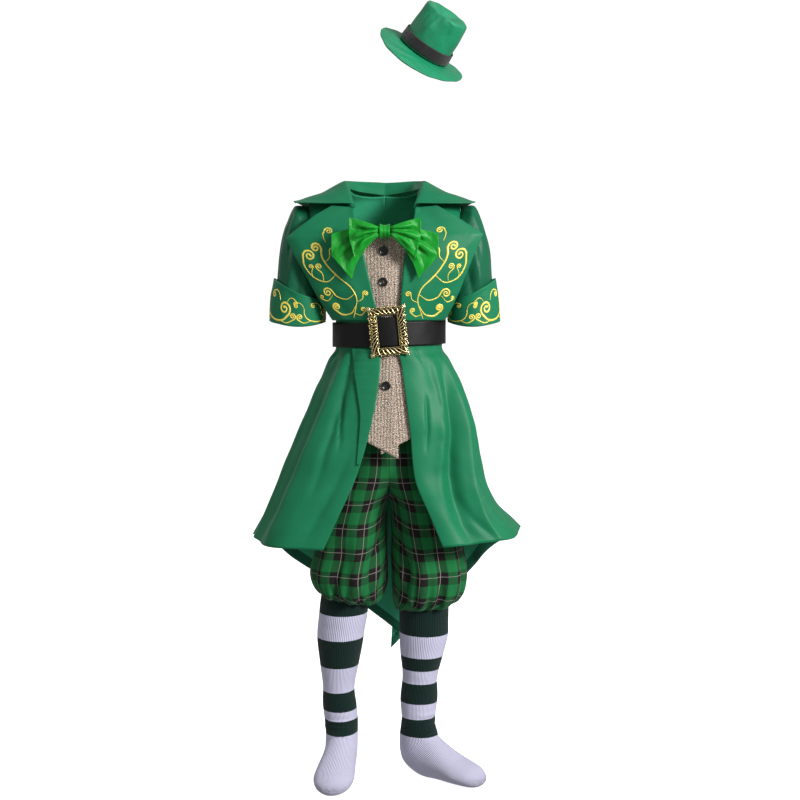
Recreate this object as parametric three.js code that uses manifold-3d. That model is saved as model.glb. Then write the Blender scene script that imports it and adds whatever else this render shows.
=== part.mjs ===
// A child's leprechaun costume, worn by nobody but holding its worn shape: a short-sleeved tailcoat with
// wide peaked lapels and turned-up cuffs, a false vest front, a satin bow, a belt with a cast buckle,
// checked knickers, striped stockings and a miniature top hat.
// Millimetres, +Z up, the wearer facing -Y. "right" and "left" are the wearer's: right is -X.
import * as THREE from 'three';
import Module from 'manifold-3d';
import { mergeVertices } from 'three/addons/utils/BufferGeometryUtils.js';

const wasm = await Module();
wasm.setup();

// Driving dimensions. Heights are above the wearer's floor until the whole set is lowered at the end.
const neckHeight = 985;         // the shoulder line beside the neck: where the coat hangs, and the origin
const coatCloth = 1.6;          // coat poplin with its seam allowances
const lapelCloth = 1.6;
const vestCloth = 1.6;
const knickerCloth = 1.4;
const stockingKnit = 1.6;
const satinCloth = 1.4;
const hatFelt = 2;
const seamGap = 0.3;            // between pieces that are sewn or lie together
const chestShift = -7;          // the wearer's chest leans this far to the right of the belt's middle
const shiftFrom = 757;          // waist height, where the lean starts
const shiftTo = 900;            // chest height, where the lean is whole

const belt = { low: 736.8, high: 776, halfWidth: 93, halfDepth: 73, middleY: -6.5, thick: 2.4, tilt: 0.03 };
const buckle = { x: -1, z: 762, width: 58, height: 76, windowWidth: 32, windowHeight: 52, thick: 4.5, tilt: 5.5 };
const button = { radius: 7.5, thick: 2.6, rimWidth: 1.6, dish: 0.8 };
const neckHole = { halfWidth: 57.2, halfDepth: 51.2, y: -6, low: 900, high: 1100 };
const hat = { x: 54.7, y: -78, z: 1201.8, roll: 35, lean: 18.5, crownRadius: 42, brimRadius: 76 };

const table = (columns, rows) => {
  const names = columns.split(' ');
  return rows.map((row) => Object.fromEntries(names.map((name, i) => [name, row[i]])));
};

const mix = (a, b, t) => a + (b - a) * t;
const clamp01 = (t) => Math.min(1, Math.max(0, t));
const smooth = (t) => clamp01(t) ** 2 * (3 - 2 * clamp01(t));
const radians = THREE.MathUtils.degToRad;

// A row of a table at v from 0 (first row) to 1 (last row), curved through the rows between without ever
// running past their values.
function rowAt(rows, v) {
  const at = clamp01(v) * (rows.length - 1);
  const i = Math.min(rows.length - 2, Math.floor(at));
  const t = at - i;
  const slope = (key, k) => {
    const before = k > 0 ? rows[k][key] - rows[k - 1][key] : rows[1][key] - rows[0][key];
    const after = k < rows.length - 1 ? rows[k + 1][key] - rows[k][key] : before;
    return before * after > 0 ? 2 * before * after / (before + after) : 0;
  };
  const curve = (key) => {
    const [a, b] = [rows[i][key], rows[i + 1][key]];
    const [enter, leave] = [slope(key, i), slope(key, i + 1)];
    return a + t * (enter + t * (3 * (b - a) - 2 * enter - leave + t * (enter + leave - 2 * (b - a))));
  };
  return Object.fromEntries(Object.keys(rows[0]).map((key) => [key, curve(key)]));
}

const leanAt = (z) => chestShift * smooth((z - shiftFrom) / (shiftTo - shiftFrom));

// A closed wall of cloth: surface(u, v) gives its outer face, and the inner face lies thickness inside it,
// towards the wearer's own axis, or towards the middle of a ring, unless up says that the outer face looks up.
// closed joins u = 1 to u = 0; pole closes the wall over at v = 1; seam(u, v) names the axis that an edge's
// thickness keeps square to, so that two sewn pieces meet.
function clothWall(surface, { across, along, thickness, closed = false, ring = closed, pole = false, up = false, seam }) {
  const columns = closed ? across : across + 1;
  const rows = pole ? along : along + 1;
  const point = (i, j) => new THREE.Vector3(...surface(closed ? ((i + across) % across) / across : i / across, j / along));
  const grid = [];
  for (let j = 0; j < rows; j++) {
    for (let i = 0; i < columns; i++) grid.push(point(i, j));
  }
  const at = (i, j) => {
    if (closed) return grid[j * columns + ((i + columns) % columns)];
    return grid[j * columns + Math.min(columns - 1, Math.max(0, i))];
  };
  const normals = grid.map((p, k) => {
    const i = k % columns;
    const j = Math.floor(k / columns);
    const acrossWay = at(i + 1, j).clone().sub(at(i - 1, j));
    const alongWay = at(i, Math.min(rows - 1, j + 1)).clone().sub(at(i, Math.max(0, j - 1)));
    const normal = acrossWay.cross(alongWay);
    const axis = seam && seam(i / across, j / along);
    if (axis) normal[axis] = 0;
    return normal.normalize();
  });
  const middle = new THREE.Vector3();
  for (const p of grid) middle.addScaledVector(p, ring ? 1 / grid.length : 0);
  const away = grid.map((p) => (up ? new THREE.Vector3(0, 0, 1) : p.clone().sub(middle).setZ(ring ? p.z - middle.z : 0)));
  const facing = Math.sign(away.reduce((sum, way, k) => sum + way.normalize().dot(normals[k]), 0));
  const inner = grid.map((p, k) => p.clone().addScaledVector(normals[k], -thickness * facing));
  const points = [...grid, ...inner];
  const count = grid.length;
  const faces = [];
  const quad = (a, b, c, d) => faces.push(a, b, c, a, c, d);
  const id = (i, j) => j * columns + (closed ? i % columns : i);
  for (let j = 0; j < rows - 1; j++) {
    for (let i = 0; i < across; i++) {
      quad(id(i, j), id(i + 1, j), id(i + 1, j + 1), id(i, j + 1));
      quad(count + id(i, j + 1), count + id(i + 1, j + 1), count + id(i + 1, j), count + id(i, j));
    }
  }
  for (let i = 0; i < across; i++) {
    quad(id(i + 1, 0), id(i, 0), count + id(i, 0), count + id(i + 1, 0));
    if (!pole) quad(id(i, rows - 1), id(i + 1, rows - 1), count + id(i + 1, rows - 1), count + id(i, rows - 1));
  }
  for (let j = 0; j < rows - 1 && !closed; j++) {
    quad(id(0, j), id(0, j + 1), count + id(0, j + 1), count + id(0, j));
    quad(id(across, j + 1), id(across, j), count + id(across, j), count + id(across, j + 1));
  }
  if (pole) {
    const tip = new THREE.Vector3(...surface(0, 1));
    const lastRing = new THREE.Vector3();
    for (let i = 0; i < columns; i++) lastRing.addScaledVector(grid[(rows - 1) * columns + i], 1 / columns);
    const innerTip = tip.clone().addScaledVector(tip.clone().sub(lastRing).normalize(), -thickness);
    points.push(tip, innerTip);
    for (let i = 0; i < across; i++) {
      faces.push(id(i, rows - 1), id(i + 1, rows - 1), 2 * count);
      faces.push(count + id(i + 1, rows - 1), count + id(i, rows - 1), 2 * count + 1);
    }
  }
  return facedOut(points, faces);
}

// An indexed geometry from points and faces, turned so that its faces point out.
function facedOut(points, faces) {
  let volume = 0;
  for (let k = 0; k < faces.length; k += 3) {
    const [a, b, c] = [points[faces[k]], points[faces[k + 1]], points[faces[k + 2]]];
    volume += a.dot(b.clone().cross(c));
  }
  if (volume < 0) {
    for (let k = 0; k < faces.length; k += 3) [faces[k + 1], faces[k + 2]] = [faces[k + 2], faces[k + 1]];
  }
  const geometry = new THREE.BufferGeometry();
  geometry.setAttribute('position', new THREE.Float32BufferAttribute(points.flatMap((p) => p.toArray()), 3));
  geometry.setIndex(faces);
  return geometry;
}

function solidOf(geometry) {
  const bare = new THREE.BufferGeometry();
  const flat = geometry.index ? geometry.toNonIndexed() : geometry;
  bare.setAttribute('position', flat.getAttribute('position'));
  const merged = mergeVertices(bare, 1e-4);
  const { array } = merged.attributes.position;
  return new wasm.Manifold(new wasm.Mesh({ numProp: 3, vertProperties: array, triVerts: new Uint32Array(merged.index.array) }));
}

function geometryOf(solid) {
  const { numProp, vertProperties, triVerts, numVert } = solid.getMesh();
  const positions = new Float32Array(numVert * 3);
  for (let i = 0; i < numVert; i++) positions.set(vertProperties.subarray(i * numProp, i * numProp + 3), i * 3);
  const geometry = new THREE.BufferGeometry();
  geometry.setAttribute('position', new THREE.BufferAttribute(positions, 3));
  geometry.setIndex(new THREE.BufferAttribute(triVerts, 1));
  return geometry;
}

const cloth = (color, roughness = 0.85, metalness = 0) => new THREE.MeshStandardMaterial({ color, roughness, metalness });
const materials = {
  coat: cloth(0x1f7f52, 0.7),
  check: cloth(0x14703a),
  vest: cloth(0xb79f8c),
  satin: cloth(0x12a62c, 0.35),
  belt: cloth(0x1c1a1a, 0.45),
  gold: cloth(0xc9a94b, 0.35, 1),
  button: cloth(0x141414, 0.4),
  stocking: cloth(0x1a4a38, 0.95),
  hat: cloth(0x2aa273, 0.5),
  ribbon: cloth(0x2a2526, 0.6),
};

const costume = new THREE.Group();
const sides = { right: -1, left: 1 };

function add(name, geometry, material) {
  const mesh = new THREE.Mesh(geometry, materials[material]);
  mesh.name = name;
  costume.add(mesh);
  return mesh;
}

// The coat's body. Each row is a level section of one half, x outwards from the middle: the front edge, the
// side seam, which opens into the armhole by hole to the front and the back, and the middle of the back.
const coatColumns = 'frontX frontY frontZ sideX sideY hole sideZ backX backY backZ';
const bodice = [
  [58, 3.4, 988, 124, 3.6, 0, 963, 0.2, 3.8, 1000],
  [50, -45, 955, 122, 1, 21, 938, 0.2, 44, 984],
  [38, -71, 905, 117.5, 0, 29, 900, 0.2, 64, 945],
  [31, -77, 875, 113, -2, 20, 864, 0.2, 71, 900],
  [25, -78, 838, 109, -1, 0, 849, 0.2, 72, 855],
  [19.5, -75, 800, 92, 0, 0, 800, 0.2, 65, 800],
  [14, -73, 779, 87, 0, 0, 779, 0.2, 61, 779],
  [13, -73, 735, 87, 0, 0, 735, 0.2, 61, 735],
];
const skirt = {
  right: [
    [13, -77, 714, 100, 0, 0, 712, 0.2, 71, 705],
    [18, -90, 665, 120, 0, 0, 662, 0.2, 84, 640],
    [31, -99, 600, 147, 0, 0, 598, 0.4, 96, 555],
    [50, -106, 535, 175, 2, 0, 530, -14, 106, 455],
    [81, -111, 465, 203, 4, 0, 462, -18, 115, 345],
    [104, -112, 414, 224, 6, 0, 420, -20, 122, 226],
  ],
  left: [
    [19, -77, 714, 100, 0, 0, 712, 0.2, 71, 705],
    [26, -90, 665, 122, 0, 0, 662, 1.2, 84, 640],
    [34, -99, 600, 141, 0, 0, 598, 4, 98, 555],
    [40, -106, 535, 149, 2, 0, 535, 6, 112, 450],
    [67, -111, 465, 172, 4, 0, 478, 8, 122, 330],
    [86, -113, 419, 217, 6, 0, 434, 2, 130, 199],
  ],
};
const coatRows = (side) => table(coatColumns, [...bodice, ...skirt[side]]);
const lastBodiceRow = bodice.length - 1;

// The skirt's folds: how far a fold stands out at s across a panel, growing towards the hem.
const skirtFolds = {
  frontright: { count: 1.5, depth: 16, phase: 0.35 },
  frontleft: { count: 1.5, depth: 14, phase: 0.15 },
  backright: { count: 2, depth: 22, phase: 0.1 },
  backleft: { count: 2, depth: 22, phase: 0.35 },
};

function skirtFold(panel, s, v, rows) {
  const fold = skirtFolds[panel];
  const down = smooth((v * (rows - 1) - lastBodiceRow) / (rows - 1 - lastBodiceRow));
  const wave = (1 + Math.cos(2 * Math.PI * (fold.count * s + fold.phase))) / 2;
  return fold.depth * down * Math.sin(Math.PI * s) * wave;
}

function coatFront(side) {
  const rows = coatRows(side);
  return (s, v) => {
    const row = rowAt(rows, v);
    const turn = s * Math.PI / 2;
    const out = skirtFold('front' + side, s, v, rows.length);
    const z = mix(row.frontZ, row.sideZ, s);
    const x = mix(row.frontX, row.sideX, Math.sin(turn)) + out * Math.sin(turn);
    const y = mix(row.sideY - row.hole - seamGap / 2, row.frontY, Math.cos(turn)) - out * Math.cos(turn);
    return [sides[side] * x + leanAt(z), y, z];
  };
}

function coatBack(side) {
  const rows = coatRows(side);
  return (s, v) => {
    const row = rowAt(rows, v);
    const turn = s * Math.PI / 2;
    const out = skirtFold('back' + side, s, v, rows.length);
    const z = mix(row.backZ, row.sideZ, v > lastBodiceRow / (rows.length - 1) ? Math.sin(turn) : s);
    const x = mix(row.backX, row.sideX, Math.sin(turn)) + out * Math.sin(turn);
    const y = mix(row.sideY + row.hole + seamGap / 2, row.backY, Math.cos(turn)) + out * Math.cos(turn);
    return [sides[side] * x + leanAt(z), y, z];
  };
}

function neckHoleCutter() {
  const outline = new THREE.Shape().absellipse(0, 0, neckHole.halfWidth, neckHole.halfDepth, 0, 2 * Math.PI);
  const cutter = new THREE.ExtrudeGeometry(outline, { depth: neckHole.high - neckHole.low, bevelEnabled: false, curveSegments: 32 });
  cutter.translate(chestShift, neckHole.y, neckHole.low);
  return solidOf(cutter);
}

for (const side of Object.keys(sides)) {
  const rows = coatRows(side);
  const sewn = (u, v) => (v === 0 || u === 1 ? 'y' : u === 0 ? 'x' : null);
  const frontSewn = (u, v) => (v === 0 || u === 1 ? 'y' : null);
  const grid = { across: 8, along: rows.length - 1, thickness: coatCloth };
  add('coat_front_' + side, clothWall(coatFront(side), { ...grid, seam: frontSewn }), 'coat');
  const whole = clothWall(coatBack(side), { ...grid, seam: sewn });
  add('coat_back_' + side, geometryOf(solidOf(whole).subtract(neckHoleCutter())), 'coat');
}

// The lapels: each row runs from the roll line, on the front edge, to the free outer edge.
const lapelRows = table('rollX rollY rollZ edgeX edgeY edgeZ', [
  [49.5, -47.5, 960, 84, -46, 963],
  [48.5, -52, 950, 110, -48, 948],
  [45, -60.5, 934, 137, -48, 932],
  [40.5, -70.5, 915, 159, -47, 919],
  [33.5, -78, 885, 144, -52, 885],
  [28, -80.5, 855, 130, -54, 853],
  [23.5, -80, 825, 117, -53, 825],
  [19.5, -77.2, 799, 104, -48, 799],
  [16, -76.4, 778, 91, -40, 778],
]);
const lapelBulge = 0.55;        // 1 would be a full quarter round, 0 a straight fold

function lapel(side) {
  return (s, v) => {
    const row = rowAt(lapelRows, v);
    const turn = s * Math.PI / 2;
    const z = mix(row.rollZ, row.edgeZ, s);
    const x = mix(row.rollX, row.edgeX, mix(s, Math.sin(turn), lapelBulge));
    const y = mix(row.edgeY, row.rollY, mix(1 - s, Math.cos(turn), lapelBulge));
    return [sides[side] * x + leanAt(z), y, z];
  };
}

for (const side of Object.keys(sides)) {
  add('lapel_' + side, clothWall(lapel(side), { across: 6, along: 12, thickness: lapelCloth }), 'coat');
}

// Below the belt the right front edge is turned back on itself, narrowing to nothing.
const reversRows = table('foldX edgeX z stand', [
  [13.5, 58, 733, 3.6],
  [14, 56, 705, 3.3],
  [18.5, 50, 665, 3.5],
  [26, 45, 625, 3.5],
  [35, 47.5, 588, 3],
  [47, 51, 550, 2.6],
]);
const reversFold = (s, v) => {
  const row = rowAt(reversRows, v);
  const x = mix(row.foldX, row.edgeX, s);
  const rows = coatRows('right');
  const panel = coatFront('right');
  const down = rows.findIndex((r) => r.frontZ <= row.z);
  const t = (down - 1 + (rows[down - 1].frontZ - row.z) / (rows[down - 1].frontZ - rows[down].frontZ)) / (rows.length - 1);
  let low = 0;
  let high = 1;
  for (let step = 0; step < 24; step++) {
    const middle = (low + high) / 2;
    if (-panel(middle, t)[0] < x) low = middle;
    else high = middle;
  }
  const [px, py, pz] = panel(low, t);
  const [nextX, nextY] = panel(low + 0.02, t);
  const away = new THREE.Vector2(py - nextY, nextX - px).setLength(row.stand);
  return [px + away.x, py + away.y, pz];
};
add('revers_right', clothWall(reversFold, { across: 4, along: 8, thickness: lapelCloth }), 'coat');

// The collar: one wall that stands up from the neck seam, rolls over and falls to its pointed wings. Each
// table runs round the neck, from the wing at the front to the middle of the back.
const collarLines = [
  table('x y z', [[46, -50, 959], [53, -24, 979], [56.5, 3, 991.8], [43, 34, 988.8], [0, 44.5, 982.8]]),
  table('x y z', [[53, -54.5, 966], [61, -27, 991], [65, 5, 1005], [49, 42, 1006], [0, 57, 1004]]),
  table('x y z', [[97, -52, 967], [104, -23, 978.5], [104, 12, 985], [78, 58, 983], [0, 78, 982]]),
  table('x y z', [[144, -38, 968], [148, -14, 970.5], [143, 18, 969], [112, 64, 957], [0, 88, 944]]),
];

function collar(u, v) {
  const fromBack = Math.abs(2 * u - 1);
  const { x, y, z } = rowAt(collarLines.map((line) => rowAt(line, 1 - fromBack)), v);
  return [(u < 0.5 ? -x : x) + chestShift, y, z];
}
add('collar', clothWall(collar, { across: 16, along: 6, thickness: lapelCloth }), 'coat');

// The sleeves, from the armhole down: each row is a ring through its outermost and innermost points.
const armhole = { top: 963, bottom: 849 };
const sleeveRows = table('outX outZ inX inZ depth y', [
  [126.5, 963, 115.5, 851, 29.5, 1],
  [143, 964, 114.5, 841, 38, 1],
  [160, 935, 111, 828, 42, 0],
  [170, 893, 107, 812, 42, 0],
  [175.5, 850, 104, 796, 42, 0],
  [178.5, 812, 102, 784, 41, 0],
  [181, 776.5, 101, 775, 41, 0],
]);
const sleevePleats = { count: 9, depth: 2.6, reach: 0.5 };

const hemDroop = 6;             // how far the sleeve's hem and the cuff hang lower at the front and the back
const innerOut = { right: 0, left: 6 };     // the left hem is held this much farther from the body

const ringPoint = (row, turn, swell, droop) => {
  const reach = Math.cos(turn);
  const middleX = (row.outX + row.inX) / 2;
  const middleZ = (row.outZ + row.inZ) / 2;
  return [
    middleX + (row.outX - row.inX) / 2 * reach + swell * reach,
    row.y + (row.depth + swell) * Math.sin(turn),
    middleZ + (row.outZ - row.inZ) / 2 * reach - droop * Math.sin(turn) ** 2,
  ];
};

// A point on the edge of the coat's armhole, at the height that the turn gives.
function armholePoint(turn) {
  const rows = coatRows('right').slice(0, bodice.length - 2);
  const z = mix(armhole.bottom, armhole.top, (1 + Math.cos(turn)) / 2);
  const i = Math.max(1, rows.findIndex((row) => row.sideZ <= z));
  const t = (rows[i - 1].sideZ - z) / (rows[i - 1].sideZ - rows[i].sideZ);
  const at = (key) => mix(rows[i - 1][key], rows[i][key], t);
  return [at('sideX') + 0.6, at('sideY') + at('hole') * Math.sign(Math.sin(turn)), z];
}

function sleeve(side) {
  return (u, v) => {
    const turn = 2 * Math.PI * u;
    const top = Math.max(0, Math.cos(turn));
    const fade = smooth(1 - v / sleevePleats.reach) * Math.min(1, v * sleeveRows.length);
    const swell = sleevePleats.depth * top * fade * Math.cos(sleevePleats.count * 2 * turn);
    const row = rowAt(sleeveRows, v);
    row.inX += innerOut[side] * v;
    const ring = ringPoint(row, turn, swell, hemDroop * smooth((v - 0.5) / 0.4));
    const edge = armholePoint(turn);
    const toArmhole = clamp01(1 - 7 * v);
    const [x, y, z] = ring.map((value, k) => mix(value, edge[k], toArmhole));
    return [sides[side] * x + mix(chestShift, leanAt(z), toArmhole), y, z];
  };
}

// The turned-up cuffs stand a little off the sleeve, open at the top and rolled under its hem.
const cuffRows = table('outX outZ inX inZ depth y', [
  [181.8, 846, 98.5, 811, 47, 0],
  [185.8, 815, 97, 795, 46.5, 0],
  [190, 776.5, 97, 774.5, 46, 0],
  [181, 774, 101, 772.5, 41, 0],
]);

function cuff(side) {
  return (u, v) => {
    const row = rowAt(cuffRows, v);
    row.inX += innerOut[side];
    const [x, y, z] = ringPoint(row, 2 * Math.PI * u, 0, hemDroop);
    return [sides[side] * x + chestShift, y, z];
  };
}

for (const side of Object.keys(sides)) {
  add('sleeve_' + side, clothWall(sleeve(side), { across: 18, along: 7, thickness: coatCloth, closed: true }), 'coat');
  add('cuff_' + side, clothWall(cuff(side), { across: 20, along: 3, thickness: coatCloth, closed: true }), 'coat');
}

// The false vest: two fronts, the right one lapped over the left, each with its point.
const vestBehindCoat = 2.6;     // its outer face from the coat's outer face
const vestCrown = 2.5;          // how far it stands forward in the middle of the coat's opening

function vestY(x, z) {
  const half = x - leanAt(z);
  const rows = coatRows(half < 0 ? 'right' : 'left');
  const below = Math.max(1, rows.findIndex((row) => row.frontZ <= z));
  const t = clamp01((rows[below - 1].frontZ - z) / (rows[below - 1].frontZ - rows[below].frontZ));
  const at = (key) => mix(rows[below - 1][key], rows[below][key], t);
  const share = (Math.abs(half) - at('frontX')) / (at('sideX') - at('frontX'));
  const level = Math.sqrt(1 - clamp01(share) ** 2);
  const crown = vestCrown * clamp01(1 - (half / at('frontX')) ** 2);
  return mix(at('sideY') - at('hole'), at('frontY'), level) + vestBehindCoat / level - crown;
}

// Each row runs across one front, from its middle edge to the edge sewn inside the coat.
const vestFronts = {
  right: table('middleX middleZ sewnX sewnZ', [
    [-4, 917, -60, 924],
    [6, 893, -64, 900],
    [6, 850, -62, 850],
    [7, 800, -56, 800],
    [8, 757, -48, 757],
    [9, 710, -50, 715],
    [12, 640, -56, 665],
    [16, 559, -62, 600],
  ]),
  left: table('middleX middleZ sewnX sewnZ', [
    [-4, 915, 46, 924],
    [-10, 893, 50, 900],
    [-12, 850, 48, 850],
    [-13, 800, 48, 800],
    [-13, 757, 46, 757],
    [-13, 710, 48, 715],
    [-13, 640, 56, 665],
    [-13, 566, 64, 606],
  ]),
};
const vestLap = { right: 0, left: 2.4 };  // the left front lies this far behind the right one, in the middle

function vestFront(side) {
  return (s, v) => {
    const row = rowAt(vestFronts[side], v);
    const x = mix(row.middleX, row.sewnX, s);
    const z = mix(row.middleZ, row.sewnZ, s);
    return [x, vestY(x, z) + vestLap[side] * smooth(2 * (1 - s)), z];
  };
}
const vestMeshes = Object.keys(sides).map((side) => (
  add('vest_front_' + side, clothWall(vestFront(side), { across: 6, along: 14, thickness: vestCloth }), 'vest')
));

// Shanked buttons with a rim round a shallow dish.
const buttonPlaces = table('x z', [[-8, 889], [-9, 840], [-4, 675]]);

function buttonProfile() {
  const { radius, thick, rimWidth, dish } = button;
  return [[0, 0], [radius - 0.6, 0], [radius, 0.7], [radius, thick - 0.6], [radius - 0.6, thick],
    [radius - rimWidth, thick], [radius - rimWidth - 0.8, thick - dish], [0, thick - dish]]
    .map(([r, h]) => new THREE.Vector2(r, h));
}
// How far forward the vest comes under a button.
function seatY(place) {
  const rays = new THREE.Raycaster();
  const forward = [];
  for (let i = 0; i < 12; i++) {
    const turn = i / 12 * 2 * Math.PI;
    const from = new THREE.Vector3(place.x + button.radius * Math.cos(turn), -200, place.z + button.radius * Math.sin(turn));
    rays.set(from, new THREE.Vector3(0, 1, 0));
    forward.push(...rays.intersectObjects(vestMeshes).map((hit) => hit.point.y));
  }
  return Math.min(...forward);
}
buttonPlaces.forEach((place, i) => {
  const mesh = add('button_' + (i + 1), new THREE.LatheGeometry(buttonProfile(), 14), 'button');
  mesh.position.set(place.x, seatY(place) - seamGap, place.z);
  mesh.rotation.x = Math.PI;
});

// The belt: a band round the waist, over the coat and the vest.
const beltY = (x) => belt.middleY - belt.halfDepth * Math.sqrt(1 - (x / belt.halfWidth) ** 2);
const beltBand = (u, v) => {
  const x = belt.halfWidth * Math.sin(2 * Math.PI * u);
  const y = belt.middleY - belt.halfDepth * Math.cos(2 * Math.PI * u);
  return [x, y, mix(belt.low, belt.high, v) + belt.tilt * x];
};
add('belt', clothWall(beltBand, { across: 36, along: 1, thickness: belt.thick, closed: true }), 'belt');

// The buckle: a cast frame with knobbed corners and a waved outline, raised between its two rims.
const frameWaves = { count: 5, depth: 1.3, corner: 3.2 };

function frameOutline(halfWidth, halfHeight, waved) {
  const points = [];
  const steps = 40;
  for (let i = 0; i < steps; i++) {
    const turn = (i + 0.5) / steps * 2 * Math.PI;
    const reach = 1 / Math.max(Math.abs(Math.cos(turn)) / halfWidth, Math.abs(Math.sin(turn)) / halfHeight);
    const [x, y] = [Math.cos(turn) * reach, Math.sin(turn) * reach];
    const cornerness = Math.abs(x / halfWidth * y / halfHeight) ** 6;
    const wave = waved ? frameWaves.depth * Math.cos(4 * frameWaves.count * turn) * (1 - cornerness) : 0;
    const swell = waved ? frameWaves.corner * cornerness : 0;
    const stretch = 1 + (wave + swell) / Math.hypot(x, y);
    points.push(new THREE.Vector2(x * stretch, y * stretch));
  }
  return points;
}

function buckleRing(outerScale, low, high) {
  const wide = (buckle.width - buckle.windowWidth) / 4;
  const middle = [buckle.windowWidth / 2 + wide, buckle.windowHeight / 2 + (buckle.height - buckle.windowHeight) / 4];
  const outer = [mix(middle[0], buckle.width / 2, outerScale), mix(middle[1], buckle.height / 2, outerScale)];
  const inner = [mix(middle[0], buckle.windowWidth / 2, outerScale), mix(middle[1], buckle.windowHeight / 2, outerScale)];
  const shape = new THREE.Shape(frameOutline(...outer, true));
  shape.holes.push(new THREE.Path(frameOutline(...inner, false).reverse()));
  const plate = new THREE.ExtrudeGeometry(shape, { depth: high - low, bevelEnabled: false });
  plate.translate(0, 0, low);
  return solidOf(plate);
}

function buckleFrame() {
  const base = buckleRing(1, 0, buckle.thick * 0.55);
  const raised = buckleRing(0.62, buckle.thick * 0.5, buckle.thick);
  const frame = geometryOf(base.add(raised));
  frame.rotateZ(radians(buckle.tilt));
  frame.rotateX(Math.PI / 2);
  frame.translate(buckle.x, beltY(buckle.windowWidth / 2 - 4) - seamGap, buckle.z);
  return frame;
}
add('buckle', buckleFrame(), 'gold');

// The bow: two pairs of loops, each a strip folded back on itself, pinched into pleats at the knot.
const bow = { x: -6, y: -90, z: 920, knotDepth: 19, knotHalfWidth: 7, knotHeight: 18, knotBack: 25.7, pinch: 0.11 };
const bowLoops = {
  top: { reach: 52, halfHeight: 33, droop: -9, y: -13, sag: 3, thick: 12, leanIn: 0.32, pleat: 2 },
  under: { reach: 80, halfHeight: 37, droop: -38, y: 0.5, sag: 12, thick: 9, leanIn: 0.68, pleat: 1.2 },
};
const bowPleats = 3;

function bowLoop(side, loop) {
  return (u, v) => {
    const along = Math.sin(Math.PI * u);         // out to the fold and back again
    const back = 1 - Math.cos(Math.PI * u);      // 0 on the front leaf, 2 on the back one
    const height = 2 * v - 1;
    const spread = mix(bow.pinch, 1, along ** 0.9);
    const pleat = loop.pleat * (1 - along) * along * 4 * Math.cos(Math.PI * bowPleats * height);
    const x = bow.knotHalfWidth * 0.6 + along * loop.reach * (1 - loop.leanIn * 0.5 * Math.max(0, -height) * along);
    const y = bow.y + loop.y * mix(0.5, 1, smooth(5 * along)) + (back - 1) * loop.thick / 2 * Math.sin(Math.PI * Math.min(1, along * 0.9 + 0.1)) ** 0.5 - pleat * (1 - back);
    const z = bow.z + loop.droop * along ** 1.4 + height * loop.halfHeight * spread - loop.sag * along * Math.abs(height) * (height > 0 ? 1 : 0);
    return [bow.x + sides[side] * x, y, z];
  };
}
for (const [layer, loop] of Object.entries(bowLoops)) {
  for (const side of Object.keys(sides)) {
    add(`bow_${layer}_${side}`, clothWall(bowLoop(side, loop), { across: 14, along: 5, thickness: satinCloth, ring: true }), 'satin');
  }
}

// The knot is a band wound round the pinched middle of both bows.
const knot = (u, v) => {
  const turn = 2 * Math.PI * u;
  const waist = 1 + 0.18 * (2 * v - 1) ** 2;
  const reach = Math.cos(turn) > 0 ? bow.knotDepth : bow.knotBack;
  return [
    bow.x + bow.knotHalfWidth * waist * (2 * v - 1),
    bow.y - reach * Math.cos(turn),
    bow.z - 0.5 + (bow.knotHeight / 2 + 1.5) * waist * Math.sin(turn),
  ];
};
add('bow_knot', clothWall(knot, { across: 16, along: 3, thickness: satinCloth, closed: true }), 'satin');

// The knickers: a front and a back for each leg. A row is a level section, an arc of an ellipse that starts
// at the middle seam above the crotch and at the inside leg below it.
const knickerColumns = 'z x halfWidth front back start';
const knickerHips = [
  [742, 0, 84, 65, 57.6, 90],
  [690, 0, 88, 70, 58, 90],
  [620, 0, 94, 77, 64, 90],
  [550, 0.5, 97, 80, 68, 89.9],
  [505, 38, 62, 76, 68, 54],
  [478, 53, 53, 72, 68, 14],
];
const knickerLegs = {
  right: [
    [440, 61, 58, 69, 66, 0],
    [400, 63, 60, 68, 66, 0],
    [356, 67.5, 64.5, 68, 65, 0],
    [330, 68, 59.5, 64, 62, 0],
    [319, 72, 50.5, 55.5, 54.5, 0],
    [315, 75, 44, 43.6, 45.4, 0],
  ],
  left: [
    [440, 60, 57, 69, 66, 0],
    [400, 64, 60, 69, 66, 0],
    [360, 67, 63, 70, 66, 0],
    [328, 66, 61, 67, 64, 0],
    [307, 62, 53.5, 58, 56.5, 0],
    [302, 59.5, 46, 45.6, 45.8, 0],
  ],
};
const hemTilt = { right: 0.22, left: 0.1 };   // how much higher the hem is at the outside of the leg
const crotchGap = 2;            // from the middle to each inside leg
const crotchGapFrom = 520;
const gathers = { count: 9, depth: 2.6 };     // across each panel, at the elastic

function knickerPanel(side, face) {
  const rows = table(knickerColumns, [...knickerHips, ...knickerLegs[side]]);
  const way = face === 'front' ? -1 : 1;
  return (s, v) => {
    const row = rowAt(rows, v);
    const start = radians(Math.min(90, Math.max(0, row.start)));
    const turn = mix(start, Math.PI, s);
    const low = smooth((v - 0.55) / 0.4);
    const ruffle = gathers.depth * low * Math.sin(Math.PI * s) * Math.cos(2 * Math.PI * gathers.count * s);
    const bag = 5 * smooth((v - 0.4) / 0.3) * (1 - low) * Math.sin(Math.PI * s) * Math.cos(2 * Math.PI * 2.5 * s);
    const x = row.x - (row.halfWidth + (ruffle + bag) * Math.abs(Math.cos(turn))) * Math.cos(turn);
    const y = way * (row[face] + ruffle + bag) * Math.sin(turn) + way * seamGap / 2;
    const nearest = mix(seamGap / 2, crotchGap, smooth((crotchGapFrom - row.z) / 20));
    const z = row.z + hemTilt[side] * (x - row.x) * smooth((v - 0.6) / 0.4);
    return [sides[side] * Math.max(x, nearest), y, z];
  };
}
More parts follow.
